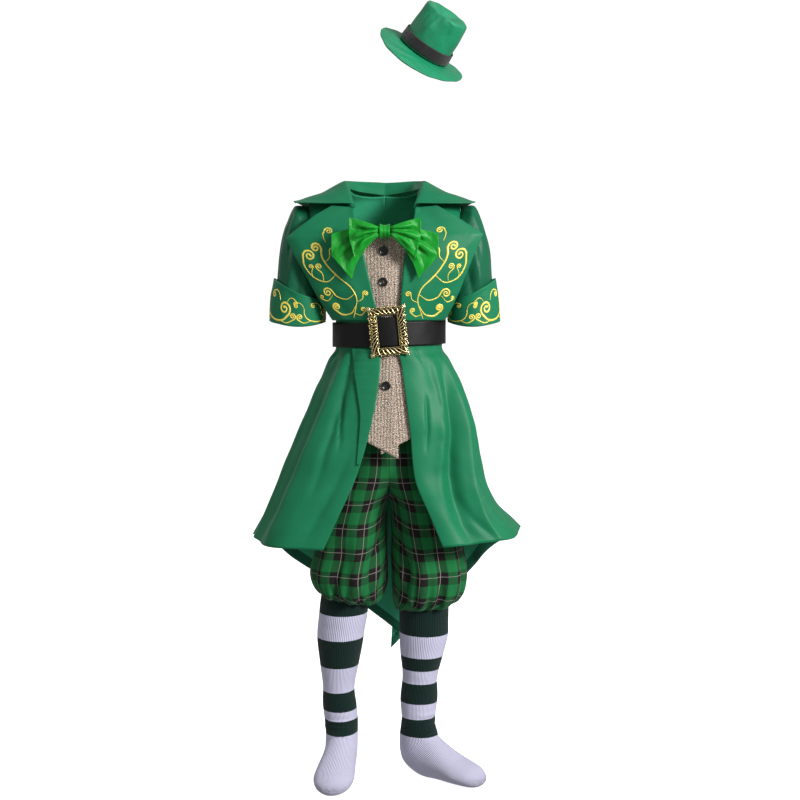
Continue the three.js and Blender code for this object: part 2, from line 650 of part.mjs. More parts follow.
for (const side of Object.keys(sides)) {
  for (const face of ['front', 'back']) {
    const seam = (u, v) => (u === 1 || (u === 0 && v > 0.45) ? 'y' : u === 0 ? 'x' : null);
    const wall = clothWall(knickerPanel(side, face), { across: 12, along: 11, thickness: knickerCloth, seam });
    add(`knicker_${face}_${side}`, wall, 'check');
  }
}

// An elastic waistband sits on top of the four panels.
const waistband = { halfWidth: 84.6, front: 66.2, back: 58.8, low: 742.6, high: 762 };
const band = (u, v) => {
  const turn = 2 * Math.PI * u;
  const depth = Math.cos(turn) > 0 ? waistband.front : waistband.back;
  return [waistband.halfWidth * Math.sin(turn), -depth * Math.cos(turn), mix(waistband.low, waistband.high, v)];
};
add('knicker_waistband', clothWall(band, { across: 32, along: 1, thickness: 2, closed: true }), 'check');

// The stockings: rings down the leg, round the heel and along the foot to the closed toe. tip turns a ring
// from level (0) to upright (90), towards the way that the foot points.
const stockingColumns = 'reach z x radius depth tip y';
const stockings = {
  right: {
    toeOut: 6,
    rows: [
      [0, 345, 73, 37, 37, 0, 1], [0, 294, 76, 40.5, 40, 0, 2], [0, 250, 81.5, 39, 39, 0, 6], [0, 205, 83.5, 33, 34, 0, 9],
      [0, 160, 84.5, 26.6, 28, 0, 10], [0, 131, 83, 28.5, 28.5, 0, 10], [1, 104, 80.5, 28, 29, 8, 10],
      [0, 80, 80, 27, 34, 22, 10], [4, 58, 80, 27, 41, 42, 10], [24, 46, 80, 28, 36, 68, 10],
      [57, 40, 80, 31, 27, 84, 10], [92, 34, 80, 33, 20, 90, 10], [118, 30, 80, 28, 16, 90, 10],
      [134, 27, 80, 14, 8, 90, 10], [138, 26, 80, 1, 1, 90, 10],
    ],
  },
  left: {
    toeOut: 50,
    rows: [
      [0, 345, 58, 40, 39, 0, 0], [0, 300, 58, 42, 41, 0, 0], [0, 259, 58, 41.5, 41, 0, 4], [0, 221, 55, 36, 36, 0, 7],
      [0, 175, 51.5, 29, 30, 0, 8], [0, 143, 50, 31.5, 31, 0, 8], [1, 112, 48.5, 29, 29, 8, 8],
      [0, 86, 48, 27, 35, 22, 8], [4, 62, 48, 28, 42, 42, 8], [24, 49, 48, 29, 37, 68, 8],
      [57, 42, 48, 31, 28, 84, 8], [92, 35, 48, 33, 20, 90, 8], [118, 31, 48, 28, 16, 90, 8],
      [134, 28, 48, 14, 8, 90, 8], [138, 27, 48, 1, 1, 90, 8],
    ],
  },
};

function stocking(side) {
  const rows = table(stockingColumns, stockings[side].rows);
  const toe = radians(stockings[side].toeOut);
  return (u, v) => {
    const row = rowAt(rows, v);
    const turn = 2 * Math.PI * u;
    const tip = radians(row.tip);
    const along = row.reach - row.depth * Math.cos(turn) * -Math.cos(tip);
    const across = row.radius * Math.sin(turn);
    const z = row.z + row.depth * Math.cos(turn) * Math.sin(tip);
    const x = row.x + along * Math.sin(toe) + across * Math.cos(toe);
    return [sides[side] * x, row.y - along * Math.cos(toe) + across * Math.sin(toe), z];
  };
}
for (const side of Object.keys(sides)) {
  const wall = { across: 14, along: 18, thickness: stockingKnit, closed: true, pole: true };
  add('stocking_' + side, clothWall(stocking(side), wall), 'stocking');
}

// The hat, about its own upright axis, tipped as it is worn. The crown is soft: dented along its top and
// pinched at the front.
const crownProfile = table('share height', [
  [1.03, 1.3], [1, 16], [0.97, 34], [0.945, 50], [0.93, 62], [0.88, 69], [0.72, 71.5], [0.4, 71], [0, 71],
]);
const dent = { depth: 14, along: 30, across: 15, pinch: 7, pinchAt: 0.33 };
const crown = (u, v) => {
  const row = rowAt(crownProfile, v);
  const turn = 2 * Math.PI * u;
  const top = smooth((row.height - 40) / 30);
  const pinched = dent.pinch * top * row.share * Math.max(0, Math.cos(turn + dent.pinchAt)) ** 10;
  const radius = hat.crownRadius * row.share * (1 + 0.03 * Math.cos(2 * turn)) - pinched;
  const [x, y] = [radius * Math.sin(turn), -radius * Math.cos(turn)];
  const inDent = Math.exp(-((x / dent.across) ** 2) - ((y / dent.along) ** 2));
  return [x, y, row.height - dent.depth * inDent * smooth((v - 0.6) / 0.3)];
};
// The brim droops, most at the front and least over the left ear.
const brimDroop = (turn) => -7.5 + 4 * Math.sin(turn) - 3.5 * Math.cos(turn) - 3.5 * Math.cos(2 * turn);
const brim = (u, v) => {
  const turn = 2 * Math.PI * u;
  const radius = mix(hat.crownRadius - 6, hat.brimRadius, v) * (1 + 0.03 * v * Math.cos(2 * turn));
  return [radius * Math.sin(turn), -radius * Math.cos(turn), brimDroop(turn) * v ** 1.6];
};
const ribbon = (u, v) => {
  const turn = 2 * Math.PI * u;
  const height = mix(4, 21, v);
  const radius = hat.crownRadius * (1.031 - 0.002 * height) * (1 + 0.03 * Math.cos(2 * turn)) + 2.1;
  return [radius * Math.sin(turn), -radius * Math.cos(turn), height];
};

const hatGroup = new THREE.Group();
hatGroup.position.set(hat.x, hat.y, hat.z);
hatGroup.rotation.set(radians(hat.lean), radians(hat.roll), 0, 'YXZ');
costume.add(hatGroup);
hatGroup.add(
  add('hat_crown', clothWall(crown, { across: 22, along: 9, thickness: hatFelt, closed: true, pole: true }), 'hat'),
  add('hat_brim', clothWall(brim, { across: 24, along: 3, thickness: hatFelt, closed: true, up: true }), 'hat'),
  add('hat_ribbon', clothWall(ribbon, { across: 22, along: 1, thickness: 1.2, closed: true }), 'ribbon'),
);

costume.position.z = -neckHeight;

export default costume;
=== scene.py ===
import math

import bmesh
import bpy
import numpy as np
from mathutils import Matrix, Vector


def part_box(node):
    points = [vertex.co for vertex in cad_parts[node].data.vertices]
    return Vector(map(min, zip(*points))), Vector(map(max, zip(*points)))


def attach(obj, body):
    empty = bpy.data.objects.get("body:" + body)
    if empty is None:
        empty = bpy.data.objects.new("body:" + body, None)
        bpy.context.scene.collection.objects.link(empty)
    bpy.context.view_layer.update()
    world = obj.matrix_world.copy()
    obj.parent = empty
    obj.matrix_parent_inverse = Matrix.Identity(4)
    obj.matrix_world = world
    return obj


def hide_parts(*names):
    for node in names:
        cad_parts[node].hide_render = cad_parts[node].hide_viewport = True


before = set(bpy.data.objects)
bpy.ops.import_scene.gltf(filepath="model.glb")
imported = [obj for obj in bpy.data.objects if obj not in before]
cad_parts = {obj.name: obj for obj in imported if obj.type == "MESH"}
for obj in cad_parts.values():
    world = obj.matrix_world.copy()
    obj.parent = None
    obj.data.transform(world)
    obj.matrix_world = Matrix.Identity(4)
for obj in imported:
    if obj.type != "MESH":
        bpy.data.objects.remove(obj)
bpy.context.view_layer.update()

# Sizes here are millimetres above the floor, as in the solids; a mesh is lowered by the height of the neck
# and scaled to metres when it is made. Right and left are as worn: right is -X.
neckHeight = 985
lean = {"shift": -7, "from": 757, "to": 900}
sides = {"right": -1, "left": 1}
noise = np.random.default_rng(12)

# Numbers and curves


def mix(a, b, t):
    return a + (b - a) * t


def clamp(t):
    return np.clip(t, 0, 1)


def smooth(t):
    return clamp(t) ** 2 * (3 - 2 * clamp(t))


def leanAt(z):
    return lean["shift"] * smooth((z - lean["from"]) / (lean["to"] - lean["from"]))


# Each row's slope, level where the values turn back.
def slopesOf(values):
    step = np.diff(values, axis=0)
    slope = np.zeros_like(values)
    slope[0], slope[-1] = step[0], step[-1]
    before, after = step[:-1], step[1:]
    turns = before * after <= 0
    slope[1:-1] = np.where(turns, 0, 2 * before * after / np.where(turns, 1, before + after))
    return slope


def curveAt(a, b, enter, leave, t):
    rise = b - a
    return a + t * (enter + t * (3 * rise - 2 * enter - leave + t * (enter + leave - 2 * rise)))


# The columns of a table of rows at v from 0 to 1, curved through the rows without running past their values.
def rowAt(rows, v):
    values = np.array(rows, float)
    at = clamp(v) * (len(rows) - 1)
    i = np.minimum(len(rows) - 2, np.floor(at)).astype(int)
    t = at - i
    slope = slopesOf(values)
    return [curveAt(values[i, k], values[i + 1, k], slope[i, k], slope[i + 1, k], t)
            for k in range(values.shape[1])]


# Cloth


# How far along the cloth each point lies, in mm: across from the column at start, down from the first row.
def flatten(points, start):
    across = np.zeros(points.shape[:2])
    across[:, 1:] = np.cumsum(np.linalg.norm(np.diff(points, axis=1), axis=2), axis=1)
    across -= across[:, round(start * (across.shape[1] - 1))][:, None]
    down = np.zeros(points.shape[:2])
    down[1:] = np.cumsum(np.linalg.norm(np.diff(points, axis=0), axis=2), axis=0)
    return np.stack([across, down], axis=2)


def normalsOf(points, closed):
    if closed:
        across = np.roll(points, -1, axis=1) - np.roll(points, 1, axis=1)
        across[:, 0] = across[:, -1] = points[:, 1] - points[:, -2]
    else:
        across = np.gradient(points, axis=1)
    down = np.gradient(points, axis=0)
    normal = np.cross(across, down)
    length = np.linalg.norm(normal, axis=2, keepdims=True)
    return normal / np.maximum(length, 1e-9)


# Folds laid one by one. Each is (u, v) to (u, v) in shares of the piece, then its sideways bow as a share,
# its width and its height in mm; a trough has a height below 0.
def foldHeights(flat, folds):
    rows, columns = flat.shape[:2]
    total = np.zeros((rows, columns))
    for u0, v0, u1, v1, bow, width, height in folds:
        t = np.linspace(0, 1, 18)
        u = clamp(mix(u0, u1, t) + bow * np.sin(math.pi * t)) * (columns - 1)
        v = clamp(mix(v0, v1, t)) * (rows - 1)
        line = flat[np.round(v).astype(int), np.round(u).astype(int)]
        nearest = np.full((rows, columns), 1e9)
        along = np.zeros((rows, columns))
        for k in range(len(line) - 1):
            a, b = line[k], line[k + 1]
            span = b - a
            share = clamp(((flat - a) @ span) / max(span @ span, 1e-6))
            gap = np.linalg.norm(flat - a - share[..., None] * span, axis=2)
            closer = gap < nearest
            nearest = np.where(closer, gap, nearest)
            along = np.where(closer, (k + share) / (len(line) - 1), along)
        taper = np.sin(math.pi * mix(0.04, 0.96, along)) ** 0.7
        total += height * taper * np.exp(-((nearest / width) ** 1.7))
    return total


# Slow unevenness, so that no stretch of cloth is quite smooth: waves of random direction and phase.
def unevenness(flat, height, size=90):
    total = np.zeros(flat.shape[:2])
    for k in range(7):
        angle, phase = noise.uniform(0, 2 * math.pi, 2)
        long = size * noise.uniform(0.5, 1.6)
        along = flat[..., 0] * math.cos(angle) + flat[..., 1] * math.sin(angle)
        total += np.sin(along * 2 * math.pi / long + phase)
    return height * total / 3


# How much of a fold is kept near an edge that is sewn down: nothing on the seam itself.
def sewnShare(flat, sewn, hold):
    kept = np.ones(flat.shape[:2])
    across, down = flat[..., 0], flat[..., 1]
    if "start" in sewn:
        kept *= smooth((across - across[:, :1]) / hold)
    if "end" in sewn:
        kept *= smooth((across[:, -1:] - across) / hold)
    if "top" in sewn:
        kept *= smooth((down - down[:1]) / hold)
    if "hem" in sewn:
        kept *= smooth((down[-1:] - down) / hold)
    return kept


def metres(points):
    return (points - np.array([0, 0, neckHeight])) / 1000


# A sheet over surface(u, v): a grid with its folds, its flat coordinates as the UV map "cut", its distances
# from the side edges and from the hem as the UV map "edges", and its thickness as a modifier.
def clothPiece(name, surface, grid, thickness, materials, folds=(), uneven=0, sewn="", hold=9, closed=False,
               ring=None, up=False, shareAcross=False, rough=90, start=0.5):
    columns, rows = grid
    u, v = np.meshgrid(np.linspace(0, 1, columns + 1), np.linspace(0, 1, rows + 1))
    points = np.stack(surface(u, v), axis=2)
    flat = flatten(points, start)
    normals = normalsOf(points, closed)
    if up:
        away = np.array([0, 0, 1])
    elif closed if ring is None else ring:
        away = points - points.reshape(-1, 3).mean(axis=0)
    else:
        away = points * np.array([1, 1, 0])
    facing = 1 if (away * normals).sum() > 0 else -1
    normals = normals * facing
    height = foldHeights(flat, folds) + (unevenness(flat, uneven, rough) if uneven else 0)
    height = height * sewnShare(flat, sewn, hold)
    if closed:
        blend = smooth(np.minimum(u, 1 - u) * columns / 4)
        height = mix((height[:, :1] + height[:, -1:]) / 2, height, blend)
    points = points + normals * height[..., None]
    if shareAcross:
        flat[..., 0] = u * flat[..., 0].max(initial=0) * 2

    used = columns if closed else columns + 1
    index = np.arange((rows + 1) * used).reshape(rows + 1, used)
    faces, corners = [], []
    for j in range(rows):
        for i in range(columns):
            k = (i + 1) % used
            quad = [(i, j), (k, j), (k, j + 1), (i, j + 1)]
            corner = [(i, j), (i + 1, j), (i + 1, j + 1), (i, j + 1)]
            if facing < 0:
                quad, corner = quad[::-1], corner[::-1]
            faces.append([int(index[b, a]) for a, b in quad])
            corners.extend(corner)
    mesh = bpy.data.meshes.new(name)
    mesh.from_pydata(metres(points[:, :used].reshape(-1, 3)).tolist(), [], faces)
    corners = np.array(corners)
    across, down = flat[..., 0], flat[..., 1]
    side = np.minimum(across - across[:, :1], across[:, -1:] - across)
    hem = down[-1:] - down
    for layer, (first, second) in {"cut": (across, down), "edges": (side, hem)}.items():
        uv = np.stack([first[corners[:, 1], corners[:, 0]], second[corners[:, 1], corners[:, 0]]],
                      axis=1) / 1000
        mesh.uv_layers.new(name=layer).data.foreach_set("uv", uv.astype(np.float32).ravel())
    piece = bpy.data.objects.new(name + "_cloth", mesh)
    bpy.context.scene.collection.objects.link(piece)
    finishMesh(piece, materials)
    if thickness:
        wall = piece.modifiers.new("cloth", "SOLIDIFY")
        wall.thickness = thickness / 1000
        wall.offset = -1
        wall.material_offset = len(materials) - 1
        wall.use_quality_normals = True
    grids[name] = {"points": points, "normals": normals, "flat": flat, "closed": closed}
    return piece


grids = {}


def finishMesh(piece, materials):
    mesh = piece.data
    for material in materials:
        mesh.materials.append(material)
    for polygon in mesh.polygons:
        polygon.use_smooth = True
    shape = bmesh.new()
    shape.from_mesh(mesh)
    bmesh.ops.remove_doubles(shape, verts=shape.verts, dist=2e-6)
    shape.to_mesh(mesh)
    shape.free()
    mesh.update()


# The piece stands for its solid, which is hidden, and rides on the one body.
def declare(piece):
    node = piece.name.removesuffix("_cloth")
    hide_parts(node)
    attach(piece, "root")
    return piece


# Materials


def linear(hexColour):
    parts = [int(hexColour[i:i + 2], 16) / 255 for i in (1, 3, 5)]
    return [p / 12.92 if p <= 0.04045 else ((p + 0.055) / 1.055) ** 2.4 for p in parts] + [1]


def addNode(tree, kind, inputs=(), **settings):
    made = tree.nodes.new(kind)
    for key, value in settings.items():
        setattr(made, key, value)
    for key, value in dict(inputs).items():
        if isinstance(value, bpy.types.NodeSocket):
            tree.links.new(value, made.inputs[key])
        else:
            made.inputs[key].default_value = value
    return made


def newMaterial(name, **inputs):
    material = bpy.data.materials.new(name)
    material.use_nodes = True
    tree = material.node_tree
    shader = tree.nodes["Principled BSDF"]
    for key, value in inputs.items():
        shader.inputs[key.replace("_", " ")].default_value = value
    return material, tree, shader


def calculate(tree, operation, *values):
    inputs = {i: value for i, value in enumerate(values)}
    return addNode(tree, "ShaderNodeMath", inputs, operation=operation).outputs[0]


def blendColours(tree, factor, first, second, mode="MIX"):
    inputs = {"Factor": factor, 6: first, 7: second}
    return addNode(tree, "ShaderNodeMix", inputs, data_type="RGBA", blend_type=mode).outputs[2]


def ramp(tree, value, stops, interpolation="LINEAR"):
    made = addNode(tree, "ShaderNodeValToRGB", {0: value})
    made.color_ramp.interpolation = interpolation
    elements = made.color_ramp.elements
    while len(elements) > 1:
        elements.remove(elements[-1])
    elements[0].position, elements[0].color = stops[0]
    for position, colour in stops[1:]:
        elements.new(position).color = colour
    return made.outputs[0]


# The cloth's flat coordinates in mm: (x, y, vector), or its distances from the edges.
def clothCoordinates(tree, layer="cut"):
    flat = addNode(tree, "ShaderNodeUVMap", uv_map=layer).outputs[0]
    inMm = addNode(tree, "ShaderNodeVectorMath", {0: flat, "Scale": 1000.0}, operation="SCALE").outputs[0]
    parts = addNode(tree, "ShaderNodeSeparateXYZ", {0: inMm})
    return parts.outputs[0], parts.outputs[1], inMm


def wave(tree, value, pitch):
    return calculate(tree, "SINE", calculate(tree, "MULTIPLY", value, 2 * math.pi / pitch))


def speckle(tree, vector, pitch, detail=2.0, roughness=0.5):
    inputs = {"Vector": vector, "Scale": 1 / pitch, "Detail": detail, "Roughness": roughness}
    return addNode(tree, "ShaderNodeTexNoise", inputs).outputs[0]


def bump(tree, shader, heights):
    normal = None
    for height, strength, distance in heights:
        inputs = {"Height": height, "Strength": strength, "Distance": distance / 1000}
        if normal is not None:
            inputs["Normal"] = normal
        normal = addNode(tree, "ShaderNodeBump", inputs).outputs[0]
    tree.links.new(normal, shader.inputs["Normal"])


# Woven polyester: a fine twill whose slight lustre shows on every rounded fold, and turned hems with one row
# of stitching. The wrong side is duller, with the dark band of the turned hem.
def polyester(name, colour, roughness, twill=0.55, stitchFrom=6, hemBand=None):
    material, tree, shader = newMaterial(name, Roughness=roughness)
    shader.inputs["Sheen Weight"].default_value = 0.03
    shader.inputs["Sheen Roughness"].default_value = 0.4
    shader.inputs["Anisotropic"].default_value = 0.35
    shader.inputs["IOR"].default_value = 1.45
    shader.inputs["Specular IOR Level"].default_value = 0.2
    x, y, flat = clothCoordinates(tree)
    side, hem, _ = clothCoordinates(tree, "edges")
    mottle = speckle(tree, flat, 34, 3.0)
    thread = speckle(tree, flat, 0.9, 1.0)
    shade = blendColours(tree, mottle, linear(colour["deep"]), linear(colour["light"]))
    shade = blendColours(tree, calculate(tree, "MULTIPLY", thread, 0.1), shade, linear(colour["thread"]))
    if hemBand:
        banded = calculate(tree, "LESS_THAN", hem, hemBand["width"])
        shade = blendColours(tree, banded, shade, linear(hemBand["colour"]))
    tree.links.new(shade, shader.inputs["Base Color"])
    nearest = calculate(tree, "MINIMUM", side, hem)
    stitch = calculate(tree, "COMPARE", nearest, stitchFrom, 0.5)
    pucker = calculate(tree, "MULTIPLY", stitch,
                       calculate(tree, "ADD", wave(tree, calculate(tree, "ADD", x, y), 2.8), 2.0))
    weave = wave(tree, calculate(tree, "ADD", x, y), twill)
    bump(tree, shader,
         [(speckle(tree, flat, 14, 2.0), 0.22, 1.0), (weave, 0.12, 0.06), (pucker, -0.35, 0.25)])
    return material


# Duchesse satin: long floats that give a bright, soft-edged highlight across the threads.
def satin(name, colour, roughness, crush, anisotropic=0.6):
    material, tree, shader = newMaterial(name, Roughness=roughness)
    shader.inputs["Anisotropic"].default_value = anisotropic
    shader.inputs["Sheen Weight"].default_value = 0.05
    shader.inputs["Sheen Roughness"].default_value = 0.3
    shader.inputs["IOR"].default_value = 1.5
    shader.inputs["Specular IOR Level"].default_value = 0.32
    x, y, flat = clothCoordinates(tree)
    mottle = speckle(tree, flat, 22, 2.0)
    shade = blendColours(tree, mottle, linear(colour["deep"]), linear(colour["light"]))
    tree.links.new(shade, shader.inputs["Base Color"])
    bump(tree, shader, [(speckle(tree, flat, 9, 3.0), crush, 1.2), (wave(tree, y, 0.35), 0.08, 0.04)])
    return material


coatLook = {
    "colour": {"deep": "#146644", "light": "#187850", "thread": "#279366"},
    # The sleeves' colours are painted shade: a darker copy of the coat's gabardine colours.
    "sleeve": {"deep": "#0e5138", "light": "#135f40", "thread": "#23865d"},
    "wrongSide": {"deep": "#309c70", "light": "#3aae81", "thread": "#64d6a7"},
    "hemBand": {"width": 19, "colour": "#175e44"},
    "roughness": 0.46,
}
coatCloth = polyester("coat gabardine", coatLook["colour"], coatLook["roughness"])
# Painted shade: the sleeves get their own darker copy of the coat gabardine.
shadedSleeveCloth = polyester("sleeve gabardine", coatLook["sleeve"], 0.4)
wrongSide = polyester("coat wrong side", coatLook["wrongSide"], 0.62, hemBand=coatLook["hemBand"])


# Ribbed tweed with a twisted lurex thread: raised wales down the cloth, knots across, and small painted
# glints.
def tweed():
    look = {"light": "#d3bfac", "base": "#a58d7a", "dark": "#54402f", "glint": "#f4ebe0", "wale": 5.6,
            "knot": 2.6}
    material, tree, shader = newMaterial("vest tweed", Roughness=0.8)
    shader.inputs["Sheen Weight"].default_value = 0.1
    shader.inputs["Specular IOR Level"].default_value = 0.3
    x, y, flat = clothCoordinates(tree)
    stray = calculate(tree, "MULTIPLY", speckle(tree, flat, 3.6), 5.5)
    wales = wave(tree, calculate(tree, "ADD", x, stray), look["wale"])
    knots = wave(tree, calculate(tree, "ADD", y, stray), look["knot"])
    relief = calculate(tree, "ADD", calculate(tree, "MULTIPLY", wales, 0.5),
                       calculate(tree, "MULTIPLY", knots, 0.5))
    # Painted light and shade: the colour is lighter on the crests of the wales and knots and darker in their
    # grooves.
    paintedReliefLight = calculate(tree, "MULTIPLY_ADD", relief, 0.5, 0.5)
    shade = blendColours(tree, paintedReliefLight, linear(look["base"]), linear(look["light"]))
    flecks = calculate(tree, "GREATER_THAN", speckle(tree, flat, 2.0, 1.0), 0.56)
    shade = blendColours(tree, calculate(tree, "MULTIPLY", flecks, 0.75), shade, linear(look["dark"]))
    # Painted glints: pale spots of colour standing in for the lurex thread's sparkle.
    glints = calculate(tree, "GREATER_THAN", speckle(tree, flat, 1.5, 0.0), 0.64)
    shade = blendColours(tree, glints, shade, linear(look["glint"]))
    tree.links.new(shade, shader.inputs["Base Color"])
    bump(tree, shader, [(relief, 1.0, 1.0), (speckle(tree, flat, 0.9, 2.0), 0.5, 0.4)])
    return material


# Yarn-dyed cotton check: warp and weft stripes cross, so that dark on dark is black-brown, green on green
# bright, and a single pale thread runs a third of the way into each dark band.
def tartan():
    look = {"across": 36.0, "down": 40.0, "green": "#0f6a35", "dark": "#100c0b", "pale": "#a39a92",
            "line": 0.75}
    material, tree, shader = newMaterial("knicker check", Roughness=0.82)
    shader.inputs["Sheen Weight"].default_value = 0.05
    shader.inputs["Specular IOR Level"].default_value = 0.25
    x, y, flat = clothCoordinates(tree)

    def stripes(value, pitch):
        share = calculate(tree, "FRACT", calculate(tree, "DIVIDE", value, pitch))
        line = look["line"] / pitch
        dark = ramp(tree, share, [(0.0, (0, 0, 0, 1)), (0.44, (1, 1, 1, 1)), (0.95, (0, 0, 0, 1))],
                    "CONSTANT")
        pale = ramp(tree, share, [(0.0, (0, 0, 0, 1)), (0.62, (1, 1, 1, 1)), (0.62 + line, (0, 0, 0, 1))],
                    "CONSTANT")
        return dark, pale

    warpDark, warpPale = stripes(x, look["across"])
    weftDark, weftPale = stripes(y, look["down"])
    warp = blendColours(tree, warpDark, linear(look["green"]), linear(look["dark"]))
    weft = blendColours(tree, weftDark, linear(look["green"]), linear(look["dark"]))
    over = calculate(tree, "MULTIPLY_ADD", wave(tree, calculate(tree, "ADD", x, y), 0.9), 0.12, 0.5)
    shade = blendColours(tree, over, warp, weft)
    paleThread = calculate(tree, "MAXIMUM", warpPale, weftPale)
    shade = blendColours(tree, calculate(tree, "MULTIPLY", paleThread, 0.7), shade, linear(look["pale"]))
    tree.links.new(shade, shader.inputs["Base Color"])
    weave = calculate(tree, "MULTIPLY", wave(tree, x, 0.8), wave(tree, y, 0.8))
    bump(tree, shader, [(speckle(tree, flat, 12, 2.0), 0.3, 1.4), (weave, 0.15, 0.08)])
    return material


# Two-by-two rib in cotton: upright ribs that catch the light, in stripes given by their height. A stripe dips
# at the front, where the knit is stretched most. The ribs are twice as coarse as real ones, to show.
def ribKnit(name, stripeEnds, length, around, dip):
    look = {"green": "#0d2b25", "white": "#e2e0f6", "rib": 3.2}
    material, tree, shader = newMaterial(name, Roughness=0.9)
    shader.inputs["Sheen Weight"].default_value = 0.08
    shader.inputs["Specular IOR Level"].default_value = 0.2
    x, y, flat = clothCoordinates(tree)
    ragged = calculate(tree, "MULTIPLY_ADD", speckle(tree, flat, 1.6, 1.0), 1.2, y)
    fromFront = calculate(tree, "COSINE", calculate(tree, "MULTIPLY", x, 2 * math.pi / around))
    dipped = calculate(tree, "MULTIPLY_ADD", calculate(tree, "ADD", fromFront, 1.0), dip / 2, ragged)
    share = calculate(tree, "DIVIDE", dipped, length)
    colours = [linear(look["green"]), linear(look["white"])]
    stops = [(0.0, colours[0])]
    for k, end in enumerate(stripeEnds):
        stops.append((end / length, colours[(k + 1) % 2]))
    shade = ramp(tree, share, stops, "CONSTANT")
    ribs = wave(tree, x, look["rib"])
    # Painted shade: the colour is dimmed in the grooves between the ribs.
    shadow = calculate(tree, "MULTIPLY_ADD", ribs, 0.5, 0.5)
    dimmed = blendColours(tree, 1.0, shade, linear("#b4b4be"), "MULTIPLY")
    tree.links.new(blendColours(tree, shadow, dimmed, shade), shader.inputs["Base Color"])
    bump(tree, shader, [(ribs, 0.7, 0.5), (speckle(tree, flat, 1.4, 1.0), 0.3, 0.3)])
    return material


# Embossed PVC with a soft bloom, not a gloss: black that goes grey where it turns to the light.
def vinyl():
    material, tree, shader = newMaterial("belt vinyl", Roughness=0.5)
    shader.inputs["Base Color"].default_value = linear("#080707")
    shader.inputs["Specular IOR Level"].default_value = 0.28
    x, y, flat = clothCoordinates(tree)
    bump(tree, shader,
         [(speckle(tree, flat, 0.7, 2.0), 0.15, 0.15), (speckle(tree, flat, 18, 2.0), 0.2, 1.2)])
    return material


# Plated zinc, antiqued: bright on the crests, and black-brown where the wash stays in the hollows.
def antiqueGold():
    material, tree, shader = newMaterial("antiqued gold plate", Metallic=1.0, Roughness=0.3)
    hollow = addNode(tree, "ShaderNodeAmbientOcclusion", {"Distance": 0.005}, samples=8).outputs["AO"]
    shade = ramp(tree, hollow,
                 [(0.5, linear("#120c04")), (0.72, linear("#574517")), (0.87, linear("#ab9450")),
                  (0.97, linear("#f1e2ae"))])
    tree.links.new(shade, shader.inputs["Base Color"])
    place = addNode(tree, "ShaderNodeTexCoord").outputs["Object"]
    bump(tree, shader,
         [(addNode(tree, "ShaderNodeTexNoise", {"Vector": place, "Scale": 900.0}).outputs[0], 0.3, 0.3)])
    return material


def moulded(name, colour, roughness):
    material, tree, shader = newMaterial(name, Roughness=roughness)
    shader.inputs["Base Color"].default_value = linear(colour)
    place = addNode(tree, "ShaderNodeTexCoord").outputs["Object"]
    bump(tree, shader,
         [(addNode(tree, "ShaderNodeTexNoise", {"Vector": place, "Scale": 400.0}).outputs[0], 0.05, 0.2)])
    return material


# Puff print: a soft yellow-gold ink that stands a little off the cloth and has a faint sparkle.
def goldInk():
    material, tree, shader = newMaterial("gold print", Roughness=0.42)
    place = addNode(tree, "ShaderNodeTexCoord").outputs["Object"]
    grain = addNode(tree, "ShaderNodeTexNoise", {"Vector": place, "Scale": 700.0}).outputs[0]
    shade = blendColours(tree, grain, linear("#efc034"), linear("#efef77"))
    tree.links.new(shade, shader.inputs["Base Color"])
    shader.inputs["Metallic"].default_value = 0.15
    bump(tree, shader, [(grain, 0.3, 0.2)])
    return material


# Grosgrain: close cords across the ribbon.
def grosgrain():
    material, tree, shader = newMaterial("hat ribbon", Roughness=0.5)
    shader.inputs["Base Color"].default_value = linear("#151214")
    shader.inputs["Sheen Weight"].default_value = 0.15
    x, y, flat = clothCoordinates(tree)
    bump(tree, shader, [(wave(tree, x, 1.1), 0.6, 0.25)])
    return material


vestCloth = tweed()
checkCloth = tartan()
bowSatin = satin("bow satin", {"deep": "#087f1d", "light": "#0e9d2b"}, 0.46, 0.4)
hatSatin = satin("hat satin", {"deep": "#14734f", "light": "#1c8a60"}, 0.42, 0.3)
beltVinyl = vinyl()
buckleGold = antiqueGold()
buttonBlack = moulded("button polyester", "#0c0c0d", 0.28)
printInk = goldInk()
hatRibbon = grosgrain()
print("materials made")

# Coat body

